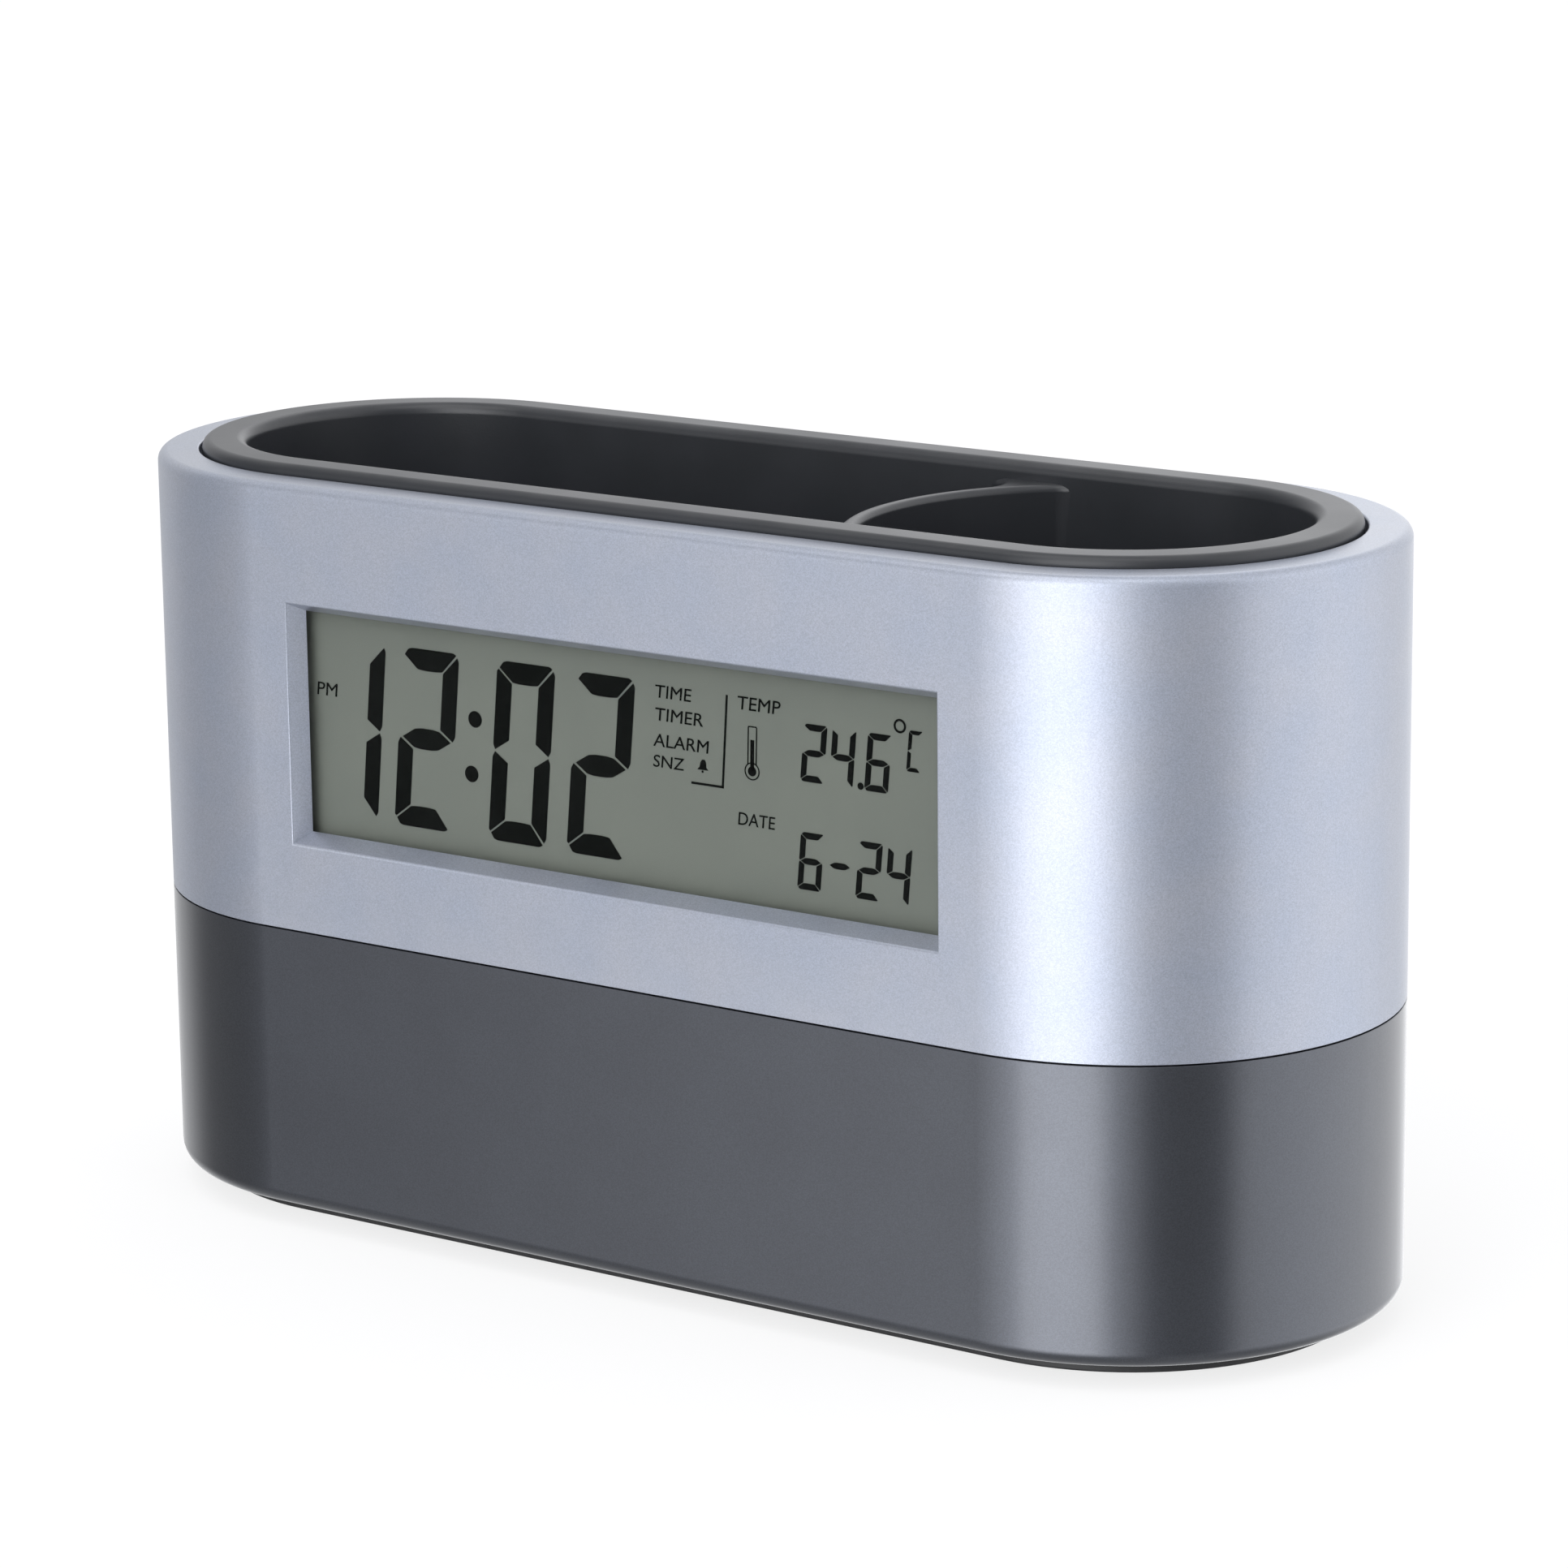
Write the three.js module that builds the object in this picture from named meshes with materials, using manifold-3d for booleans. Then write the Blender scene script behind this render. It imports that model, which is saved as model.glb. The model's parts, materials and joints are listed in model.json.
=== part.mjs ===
import * as THREE from 'three';
import { mergeVertices } from 'three/addons/utils/BufferGeometryUtils.js';
import Module from 'manifold-3d';

// A desk clock in a two-compartment pen holder.
// Millimetres, +Z up. X runs along the case, the display faces -Y,
// and the origin is the middle of the footprint on the table.

const wasm = await Module();
wasm.setup();

// Case: an upright stadium, a sleeve over a base, with a cup liner let into the top
const LENGTH = 180;
const WIDTH = 69;
const FOOT_PROUD = 0.8;
const PLATE_THICKNESS = 1.8;
const PLATE_INSET = 5;
const BASE_HEIGHT = 37.9;
const SLEEVE_HEIGHT = 58.8;
const LIP_PROUD = 1.3;
const WALL = 2.6;
const SEAM_GAP = 0.2;
const BASE_EDGE_RADIUS = 2.2;
const SLEEVE_EDGE_RADIUS = 1.4;
const ARC_STEPS = 20;

// Joint between sleeve and base, and the base's bottom flange
const TONGUE_HEIGHT = 2.2;
const TONGUE_THICKNESS = 1.1;
const FLANGE_THICKNESS = 2.4;
const FLANGE_WIDTH = 9;
const PLATE_RIB_HEIGHT = 2;
const PLATE_RIB_THICKNESS = 1.6;

// Rim and the ledge under the liner's lip
const RIM_WIDTH = 5.5;
const LEDGE_DROP = 2;
const LEDGE_WIDTH = 4.2;
const LEDGE_THICKNESS = 2.2;

// Cup liner
const LIP_WIDTH = 6;
const LIP_GAP = 0.4;
const LIP_OUTER_RADIUS = 1.2;
const LIP_INNER_RADIUS = 1.5;
const LINER_WALL = 1.8;
const LINER_DRAFT = 0.02;
const CUP_DEPTH = 67;
const FLOOR_THICKNESS = 2;
const FLOOR_FILLET = 3;
const DIVIDER_X = 20;
const DIVIDER_RADIUS = 30;
const DIVIDER_THICKNESS = 2.2;
const DIVIDER_FILLET = 4;
const DIVIDER_DROP = 2.4;
const DIVIDER_EDGE_RADIUS = 0.9;

// Window and display
const WINDOW_LENGTH = 100.4;
const WINDOW_HEIGHT = 31.8;
const WINDOW_SILL = 11.6;
const WINDOW_BEVEL = 1.3;
const LENS_THICKNESS = 1;
const GLASS_THICKNESS = 1;
const GLASS_MARGIN = 1.5;
const CONTACT_LEDGE = 1.8;
const REFLECTOR_THICKNESS = 0.4;
const ZEBRA_HEIGHT = 1.3;
const FRAME_WALL = 2.4;

// Boards
const BOARD_THICKNESS = 1;
const MAIN_BOARD_MARGIN_X = 6;
const MAIN_BOARD_MARGIN_Z = 3.3;
const BOSS_RADIUS = 2.4;
const KEY_BOARD_LENGTH = 92;
const KEY_BOARD_HEIGHT = 20;
const KEY_BOARD_RAISE = 0.6;
const KEY_SCREW_INSET = 5;
const KEY_SCREW_DROP = 3.6;
const CHIP_RADIUS = 8;
const CHIP_HEIGHT = 1.3;
const CHIP_EDGE = 0.15;
const CRYSTAL_X = -17;
const CRYSTAL_LENGTH = 6;
const CRYSTAL_RADIUS = 0.95;
const CAPACITOR_X = 18;
const CAPACITOR_SIZE = [3.2, 1.2, 1.6];
const SMALL_PARTS_RAISE = 10;
const BEAD_RADIUS = 1.2;
const BEAD_REACH = 2.2;
const BEAD_LEG = 0.4;

// Buttons
const BUTTON_NAMES = ['snooze', 'down', 'up', 'set', 'mode'];
const BUTTON_PITCH = 16;
const BUTTON_LENGTH = 10;
const BUTTON_HEIGHT = 5;
const BUTTON_ROW = 27;
const BUTTON_FLANGE = 1;
const BUTTON_FLANGE_THICKNESS = 1;
const BUTTON_EDGE_RADIUS = 0.4;
const BUTTON_BELOW_WALL = 0.1;
const KEY_RECESS_DEPTH = 0.8;
const KEY_RECESS_MARGIN = 3.5;
const SWITCH_SIZE = 6;
const SWITCH_HEIGHT = 2.5;
const SWITCH_WELL = 1.4;
const PLUNGER_RADIUS = 1.7;
const PLUNGER_SEAT = 0.7;
const PLUNGER_REACH = 1.5;
const VENT_COUNT = 4;
const VENT_LENGTH = 10;
const VENT_HEIGHT = 1.2;
const VENT_PITCH = 3;
const VENT_X = -50;

// Battery bay, for two cells of 10.5 by 44.5
const CELL_RADIUS = 5.25;
const CELL_LENGTH = 44.5;
const CELL_NUB = 0.8;
const CELL_NUB_RADIUS = 1.9;
const CELL_SPACING = 10.8;
const CELL_MARGIN = 0.3;
const CELL_SETBACK = 1.1;
const CELL_END_PLAY = 0.35;
const SPRING_LENGTH = 5.9;
const SPRING_RADIUS = 3.4;
const SPRING_TIP_RADIUS = 2.2;
const SPRING_WIRE_RADIUS = 0.35;
const SPRING_TURNS = 4;
const CONTACT_THICKNESS = 0.4;
const CONTACT_WIDTH = 9.2;
const CONTACT_REACH = 4.4;
const TRAY_LIFT = 1.8;
const TRAY_HEADROOM = 0.5;
const TRAY_WALL = 1.3;
const TRAY_EAR_LENGTH = 7.3;
const TRAY_EAR_HEIGHT = 8;
const TRAY_EAR_THICKNESS = 1.6;
const TRAY_EAR_SETBACK = 9;
const DOOR_THICKNESS = 2;
const DOOR_SIDE_ROOM = 2.75;
const DOOR_GAP = 0.35;
const DOOR_OVERHANG = 0.2;
const DOOR_BARREL_RADIUS = 1.3;
const DOOR_PIN_RADIUS = 0.65;
const DOOR_PIN_LENGTH = 1.4;
const DOOR_PIN_CLEARANCE = 0.15;
const DOOR_NOTCH_RADIUS = 6;
const DOOR_NOTCH_DEPTH = 0.9;

// Feet, screws, buzzer
const FOOT_RADIUS = 5;
const FOOT_X = 62;
const FOOT_Y = 18;
const FOOT_SEAT = 0.8;
const FOOT_STEP = 0.4;
const FOOT_STEP_HEIGHT = 0.6;
const CASE_SCREW_X = 50;
const CASE_SCREW_Y = 14;
const CASE_SCREW_RADIUS = 1.5;
const CASE_SCREW_LENGTH = 15;
const CASE_HEAD_RADIUS = 2.8;
const CASE_HEAD_HEIGHT = 2.2;
const CASE_HEAD_SINK = 0.2;
const CASE_BOSS_RADIUS = 3.6;
const CASE_PAD_RADIUS = 5.2;
const CASE_PAD_HEIGHT = 3.4;
const SMALL_SCREW_RADIUS = 1;
const SMALL_HEAD_RADIUS = 2.1;
const SMALL_HEAD_HEIGHT = 1;
const SMALL_SCREW_END_ROOM = 1;
const TRAY_SCREW_BITE = 5;
const BUZZER_RADIUS = 13.5;
const BUZZER_THICKNESS = 0.3;
const BUZZER_CERAMIC_RADIUS = 9;
const BUZZER_Y = -8;
const BUZZER_SEAT_HEIGHT = 3.2;
const BUZZER_SEAT_WALL = 2;
const SOUND_HOLE_RADIUS = 1;
const SOUND_HOLE_RING = 5;

// Cable between the boards, and the two battery leads
const RIBBON_X = 41;
const RIBBON_WIDTH = 7;
const RIBBON_THICKNESS = 0.6;
const RIBBON_TURN = 2.4;
const RIBBON_DROP = 1.6;
const RIBBON_OVERLAP = 4;
const LEAD_RADIUS = 0.65;
const LEAD_LANE = -38;
const LEAD_SPACING = 3.5;
const LEAD_CROSSING = 12.4;

// Clearances
const FIT = 0.3;
const SOLDERED = 0.1;
const SCREW_FIT = 0.1;
const CUT = 1;

// Levels, from the table up
const PLATE_BOTTOM = FOOT_PROUD;
const PLATE_TOP = PLATE_BOTTOM + PLATE_THICKNESS;
const BASE_BOTTOM = PLATE_TOP + SEAM_GAP;
const BASE_TOP = BASE_BOTTOM + BASE_HEIGHT;
const SLEEVE_BOTTOM = BASE_TOP + SEAM_GAP;
const SLEEVE_TOP = SLEEVE_BOTTOM + SLEEVE_HEIGHT;
const LIP_TOP = SLEEVE_TOP + LIP_PROUD;
const LEDGE_TOP = SLEEVE_TOP - LEDGE_DROP;
const LIP_BOTTOM = LEDGE_TOP + FIT;
const FLOOR_TOP = LIP_TOP - CUP_DEPTH;
const FLOOR_BOTTOM = FLOOR_TOP - FLOOR_THICKNESS;
const DIVIDER_TOP = LIP_TOP - DIVIDER_DROP;

// Insets from the outer wall
const LIP_OUTER = RIM_WIDTH + LIP_GAP;
const CAVITY = LIP_OUTER + LIP_WIDTH;
const LEDGE_INNER = RIM_WIDTH + LEDGE_WIDTH;

// Planes of the display stack, front to back
const FRONT = -WIDTH / 2;
const BACK = WIDTH / 2;
const FRONT_INSIDE = FRONT + WALL;
const BACK_INSIDE = BACK - WALL;
const LENS_FRONT = FRONT_INSIDE + FIT;
const GLASS_FRONT = LENS_FRONT + LENS_THICKNESS + FIT;
const GLASS_MIDDLE = GLASS_FRONT + GLASS_THICKNESS;
const GLASS_BACK = GLASS_MIDDLE + GLASS_THICKNESS;
const REFLECTOR_FRONT = GLASS_BACK + FIT;
const REFLECTOR_BACK = REFLECTOR_FRONT + REFLECTOR_THICKNESS;
const BOARD_FRONT = REFLECTOR_BACK + FIT;
const BOARD_BACK = BOARD_FRONT + BOARD_THICKNESS;

// Window, glass and main board extents
const WINDOW_Z0 = SLEEVE_BOTTOM + WINDOW_SILL;
const WINDOW_Z1 = WINDOW_Z0 + WINDOW_HEIGHT;
const VIEW_X = WINDOW_LENGTH / 2 - WINDOW_BEVEL;
const GLASS_X = VIEW_X + GLASS_MARGIN;
const GLASS_Z0 = WINDOW_Z0 + WINDOW_BEVEL - GLASS_MARGIN;
const GLASS_Z1 = WINDOW_Z1 - WINDOW_BEVEL + GLASS_MARGIN;
const FRAME_X = GLASS_X + FIT + FRAME_WALL;
const FRAME_Z0 = GLASS_Z0 - FIT - FRAME_WALL;
const FRAME_Z1 = GLASS_Z1 + FIT + FRAME_WALL;
const BOARD_X = FRAME_X + MAIN_BOARD_MARGIN_X;
const BOARD_Z0 = FRAME_Z0 - MAIN_BOARD_MARGIN_Z;
const BOARD_Z1 = FRAME_Z1 + MAIN_BOARD_MARGIN_Z;
const BOARD_SCREW_X = FRAME_X + FIT + BOSS_RADIUS;
const BOARD_SCREW_Z = [FRAME_Z0 + BOSS_RADIUS, FRAME_Z1 - BOSS_RADIUS];

// Planes behind the buttons, from the outside in
const BUTTON_Z = SLEEVE_BOTTOM + BUTTON_ROW;
const BUTTON_FACE = BACK - BUTTON_BELOW_WALL;
const BUTTON_FLANGE_BACK = BACK_INSIDE - FIT;
const BUTTON_REST = BUTTON_FLANGE_BACK - BUTTON_FLANGE_THICKNESS;
const SWITCH_FACE = BUTTON_REST - PLUNGER_REACH;
const SWITCH_BASE = SWITCH_FACE - SWITCH_HEIGHT;
const KEY_BOARD_BACK = SWITCH_BASE - SOLDERED;
const KEY_BOARD_FRONT = KEY_BOARD_BACK - BOARD_THICKNESS;
const KEY_BOARD_Z0 = BUTTON_Z - KEY_BOARD_HEIGHT / 2 + KEY_BOARD_RAISE;
const KEY_BOARD_Z1 = KEY_BOARD_Z0 + KEY_BOARD_HEIGHT;
const KEY_SCREW_X = KEY_BOARD_LENGTH / 2 - KEY_SCREW_INSET;
const KEY_SCREW_Z = KEY_BOARD_Z1 - KEY_SCREW_DROP;

// Battery bay
const DOOR_HALF = CELL_LENGTH / 2 + DOOR_SIDE_ROOM;
const TRAY_INSIDE_X = (CELL_LENGTH + SPRING_LENGTH + CELL_MARGIN + CONTACT_THICKNESS) / 2 + CELL_END_PLAY;
const TRAY_X = TRAY_INSIDE_X + TRAY_WALL;
const TRAY_Z0 = BASE_BOTTOM + FLANGE_THICKNESS + TRAY_LIFT;
const TRAY_Z1 = TRAY_Z0 + 2 * CELL_RADIUS + CELL_SPACING + 2 * CELL_MARGIN + 2 * TRAY_WALL;
const TRAY_CEILING = TRAY_Z1 + TRAY_HEADROOM;
const CELL_LOW_Z = TRAY_Z0 + TRAY_WALL + CELL_MARGIN + CELL_RADIUS;
const CELL_HIGH_Z = CELL_LOW_Z + CELL_SPACING;
const TRAY_MOUTH = BACK_INSIDE - FIT;
const CELL_Y = TRAY_MOUTH - CELL_SETBACK - CELL_RADIUS;
const TRAY_BACK = CELL_Y - CELL_RADIUS - CELL_MARGIN - TRAY_WALL;
const BAY_Z0 = TRAY_Z0 + TRAY_WALL + DOOR_OVERHANG;
const BAY_Z1 = TRAY_Z1 - TRAY_WALL - DOOR_OVERHANG;
const DOOR_Z0 = BAY_Z0 + DOOR_GAP;
const DOOR_Z1 = BAY_Z1 - DOOR_GAP;
const HINGE_Y = BACK - DOOR_BARREL_RADIUS;
const HINGE_Z = DOOR_Z0 + DOOR_BARREL_RADIUS;
const EAR_Y0 = TRAY_MOUTH - TRAY_EAR_SETBACK - TRAY_EAR_THICKNESS;
const EAR_X = TRAY_X + TRAY_EAR_LENGTH / 2;
const EAR_Z = (TRAY_Z0 + TRAY_Z1) / 2;

const FINISHES = {
    silverPaint: { color: 0xaab1c1, roughness: 0.34, metalness: 0.65 },
    greyPaint: { color: 0x565b64, roughness: 0.4, metalness: 0.45 },
    darkPlastic: { color: 0x2f3236, roughness: 0.55, metalness: 0 },
    blackPlastic: { color: 0x18191b, roughness: 0.6, metalness: 0 },
    rubber: { color: 0x141414, roughness: 0.9, metalness: 0 },
    clearPlastic: { color: 0xdde4e4, roughness: 0.05, metalness: 0 },
    displayGlass: { color: 0x757a71, roughness: 0.2, metalness: 0 },
    reflector: { color: 0xa7aba0, roughness: 0.5, metalness: 0.3 },
    zebraRubber: { color: 0x6d5560, roughness: 0.8, metalness: 0 },
    boardGreen: { color: 0x1d5a34, roughness: 0.45, metalness: 0 },
    epoxy: { color: 0x0d0d0e, roughness: 0.3, metalness: 0 },
    steel: { color: 0xb9bcc0, roughness: 0.3, metalness: 1 },
    brass: { color: 0xc7a257, roughness: 0.32, metalness: 1 },
    cellJacket: { color: 0x2c4a74, roughness: 0.3, metalness: 0.2 },
    redWire: { color: 0xb01c1c, roughness: 0.5, metalness: 0 },
    blackWire: { color: 0x161616, roughness: 0.5, metalness: 0 },
    greyRibbon: { color: 0x9a9da0, roughness: 0.6, metalness: 0 },
};

// Solids from three.js geometry, and back again
function solid(geometry) {
    geometry.deleteAttribute('normal');
    geometry.deleteAttribute('uv');
    const merged = mergeVertices(geometry, 1e-4);
    const index = merged.index.array;
    const kept = [];
    for (let i = 0; i < index.length; i += 3) {
        const [a, b, c] = [index[i], index[i + 1], index[i + 2]];
        if (a !== b && b !== c && c !== a) kept.push(a, b, c);
    }
    const vertProperties = new Float32Array(merged.attributes.position.array);
    return new wasm.Manifold(new wasm.Mesh({ numProp: 3, vertProperties, triVerts: new Uint32Array(kept) }));
}

function toGeometry(manifold) {
    const mesh = manifold.getMesh();
    const geometry = new THREE.BufferGeometry();
    geometry.setAttribute('position', new THREE.BufferAttribute(mesh.vertProperties, 3));
    geometry.setIndex(new THREE.BufferAttribute(mesh.triVerts, 1));
    geometry.computeVertexNormals();
    return geometry;
}

function union(...pieces) {
    return pieces.reduce((whole, piece) => whole.add(piece));
}

function cut(body, ...tools) {
    return tools.reduce((left, tool) => left.subtract(tool), body);
}

// The stadium outline at an inset from the outer wall, anticlockwise
function outlinePoints(inset) {
    const radius = WIDTH / 2 - inset;
    const centre = (LENGTH - WIDTH) / 2;
    const points = [];
    for (const [x, start] of [[centre, -Math.PI / 2], [-centre, Math.PI / 2]]) {
        for (let i = 0; i <= ARC_STEPS; i += 1) {
            const angle = start + (Math.PI * i) / ARC_STEPS;
            points.push([x + radius * Math.cos(angle), radius * Math.sin(angle)]);
        }
    }
    return points;
}

// A solid whose rings follow a path of (inset, height) points, capped at both ends
function loft(path, divisions = 2) {
    const profile = path.getPoints(divisions);
    const rings = profile.map((point) => outlinePoints(point.x).map(([x, y]) => [x, y, point.y]));
    const count = rings[0].length;
    const index = [];
    for (let k = 0; k + 1 < rings.length; k += 1) {
        for (let i = 0; i < count; i += 1) {
            const j = (i + 1) % count;
            const [low, high] = [k * count, (k + 1) * count];
            index.push(low + i, low + j, high + j, low + i, high + j, high + i);
        }
    }
    // Each cap is a ladder of rungs between the two long sides
    const last = (rings.length - 1) * count;
    for (let i = 0, j = count - 1; i + 1 < j; i += 1, j -= 1) {
        index.push(j, i + 1, i, last + i, last + i + 1, last + j);
        if (i + 1 < j - 1) index.push(j, j - 1, i + 1, last + i + 1, last + j - 1, last + j);
    }
    const geometry = new THREE.BufferGeometry();
    geometry.setAttribute('position', new THREE.Float32BufferAttribute(rings.flat(2), 3));
    geometry.setIndex(index);
    return solid(geometry);
}

// A straight or tapering stadium slab
function slab(insetLow, z0, z1, insetHigh = insetLow) {
    const path = new THREE.Path();
    path.moveTo(insetLow, z0);
    path.lineTo(insetHigh, z1);
    return loft(path);
}

function box(x0, x1, y0, y1, z0, z1) {
    const geometry = new THREE.BoxGeometry(x1 - x0, y1 - y0, z1 - z0);
    geometry.translate((x0 + x1) / 2, (y0 + y1) / 2, (z0 + z1) / 2);
    return solid(geometry);
}

// A round bar along one axis, with its place on the other two axes in X, Y, Z order
function rod(axis, radius, from, to, [a, b], sides = 16) {
    const geometry = new THREE.CylinderGeometry(radius, radius, to - from, sides);
    const middle = (from + to) / 2;
    if (axis === 'x') {
        geometry.rotateZ(Math.PI / 2);
        geometry.translate(middle, a, b);
    } else if (axis === 'y') {
        geometry.translate(a, middle, b);
    } else {
        geometry.rotateX(Math.PI / 2);
        geometry.translate(a, b, middle);
    }
    return solid(geometry);
}

// Extrusions of a flat outline: up Z, along Y with the outline in (x, z), along X with it in (y, z)
const ALONG = {
    z: (from) => new THREE.Matrix4().makeTranslation(0, 0, from),
    y: (from) => new THREE.Matrix4().makeBasis(
        new THREE.Vector3(-1, 0, 0),
        new THREE.Vector3(0, 0, 1),
        new THREE.Vector3(0, 1, 0),
    ).setPosition(0, from, 0),
    x: (from) => new THREE.Matrix4().makeBasis(
        new THREE.Vector3(0, 1, 0),
        new THREE.Vector3(0, 0, 1),
        new THREE.Vector3(1, 0, 0),
    ).setPosition(from, 0, 0),
};

// An outline as straight steps, with no two points alike
function stepped(shape, divisions) {
    const points = shape.getPoints(divisions);
    const next = (i) => points[(i + 1) % points.length];
    return new THREE.Shape(points.filter((point, i) => point.distanceTo(next(i)) > 1e-3));
}

function extrude(axis, shape, from, to, edge = 0, options = {}) {
    const size = options.bevelSize ?? edge;
    const geometry = new THREE.ExtrudeGeometry(stepped(shape, options.curveSegments ?? 4), {
        depth: to - from - 2 * edge,
        bevelEnabled: edge > 0,
        bevelThickness: edge,
        bevelSize: size,
        bevelOffset: -size,
        bevelSegments: options.bevelSegments ?? 2,
    });
    geometry.applyMatrix4(ALONG[axis](from + edge));
    return solid(geometry);
}

function rectangle(x0, x1, y0, y1) {
    const shape = new THREE.Shape();
    shape.moveTo(x0, y0);
    shape.lineTo(x1, y0);
    shape.lineTo(x1, y1);
    shape.lineTo(x0, y1);
    shape.closePath();
    return shape;
}

// A pill lying along the first axis of its plane
function pill(x, y, length, height) {
    const radius = height / 2;
    const reach = length / 2 - radius;
    const shape = new THREE.Shape();
    shape.absarc(x + reach, y, radius, -Math.PI / 2, Math.PI / 2);
    shape.absarc(x - reach, y, radius, Math.PI / 2, (3 * Math.PI) / 2);
    shape.closePath();
    return shape;
}

// A pan-head screw along an axis: the head's outer face at `seat`, the shank running towards `direction`
function screw(axis, at, seat, direction, headRadius, headHeight, shankRadius, shankLength) {
    const neck = seat + direction * headHeight;
    const tip = neck + direction * shankLength;
    const slotDepth = headHeight / 3;
    const head = rod(axis, headRadius, Math.min(seat, neck), Math.max(seat, neck), at);
    const root = neck - direction * 0.2;
    const shank = rod(axis, shankRadius, Math.min(root, tip), Math.max(root, tip), at, 12);
    const sink = seat + direction * slotDepth;
    const out = seat - direction * CUT;
    const [a, b] = at;
    const [low, high] = [Math.min(out, sink), Math.max(out, sink)];
    const [long, thin] = [headRadius * 0.62, headRadius * 0.14];
    const cross = [[long, thin], [thin, long]].map(([p, q]) => {
        if (axis === 'z') return box(a - p, a + p, b - q, b + q, low, high);
        return box(a - p, a + p, low, high, b - q, b + q);
    });
    return cut(union(head, shank), ...cross);
}

// Case
function upperShell() {
    const outer = new THREE.Path();
    const r = SLEEVE_EDGE_RADIUS;
    outer.moveTo(0, SLEEVE_BOTTOM);
    outer.lineTo(0, SLEEVE_TOP - r);
    outer.absarc(r, SLEEVE_TOP - r, r, Math.PI, Math.PI / 2, true);
    const body = cut(
        loft(outer),
        slab(WALL, SLEEVE_BOTTOM - CUT, LEDGE_TOP - LEDGE_THICKNESS),
        slab(LEDGE_INNER, LEDGE_TOP - LEDGE_THICKNESS - CUT, SLEEVE_TOP + CUT),
        slab(RIM_WIDTH, LEDGE_TOP, SLEEVE_TOP + CUT),
        slab(
            WALL - TONGUE_THICKNESS - FIT,
            SLEEVE_BOTTOM - CUT,
            SLEEVE_BOTTOM + TONGUE_HEIGHT + FIT - SEAM_GAP,
        ),
        windowTool(),
        keyRecessTool(),
        ...BUTTON_NAMES.map((name, i) => buttonHole(buttonX(i))),
        ...vents(),
    );
    return cut(union(body, ...sleeveBosses()), ...sleeveBores());
}

function windowTool() {
    const reach = WALL + 0.2;
    const shape = rectangle(-WINDOW_LENGTH / 2, WINDOW_LENGTH / 2, WINDOW_Z0, WINDOW_Z1);
    return extrude('y', shape, FRONT - reach - CUT, FRONT + reach, reach, {
        bevelSize: (WINDOW_BEVEL * reach) / WALL,
        bevelSegments: 1,
    });
}

function buttonX(i) {
    return (i - (BUTTON_NAMES.length - 1) / 2) * BUTTON_PITCH;
}

function keyRecessTool() {
    const length = (BUTTON_NAMES.length - 1) * BUTTON_PITCH + BUTTON_LENGTH + 2 * KEY_RECESS_MARGIN;
    const shape = pill(0, BUTTON_Z, length, BUTTON_HEIGHT + 2 * KEY_RECESS_MARGIN);
    return extrude('y', shape, BACK - KEY_RECESS_DEPTH, BACK + CUT);
}

function buttonHole(x) {
    const shape = pill(-x, BUTTON_Z, BUTTON_LENGTH + 2 * FIT, BUTTON_HEIGHT + 2 * FIT);
    return extrude('y', shape, BACK_INSIDE - CUT, BACK + CUT);
}

function vents() {
    const slots = [];
    for (let i = 0; i < VENT_COUNT; i += 1) {
        const z = BUTTON_Z + (i - (VENT_COUNT - 1) / 2) * VENT_PITCH;
        const shape = pill(-VENT_X, z, VENT_LENGTH, VENT_HEIGHT);
        slots.push(extrude('y', shape, BACK_INSIDE - CUT, BACK + CUT, 0, { curveSegments: 3 }));
    }
    return slots;
}

function boardScrewPlaces() {
    return [-BOARD_SCREW_X, BOARD_SCREW_X].flatMap((x) => BOARD_SCREW_Z.map((z) => [x, z]));
}

function keyScrewPlaces() {
    return [-KEY_SCREW_X, KEY_SCREW_X].map((x) => [x, KEY_SCREW_Z]);
}

function sleeveBosses() {
    const root = WALL / 2;
    return [
        ...boardScrewPlaces().map((at) => rod('y', BOSS_RADIUS, FRONT + root, BOARD_FRONT - FIT, at, 16)),
        ...keyScrewPlaces().map((at) => rod('y', BOSS_RADIUS, KEY_BOARD_BACK + FIT, BACK - root, at, 16)),
    ];
}

function sleeveBores() {
    const radius = SMALL_SCREW_RADIUS + SCREW_FIT;
    return [
        ...boardScrewPlaces().map((at) => rod('y', radius, FRONT_INSIDE + FIT, BOARD_FRONT, at, 12)),
        ...keyScrewPlaces().map((at) => rod('y', radius, KEY_BOARD_BACK, BACK_INSIDE - FIT, at, 12)),
    ];
}

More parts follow.
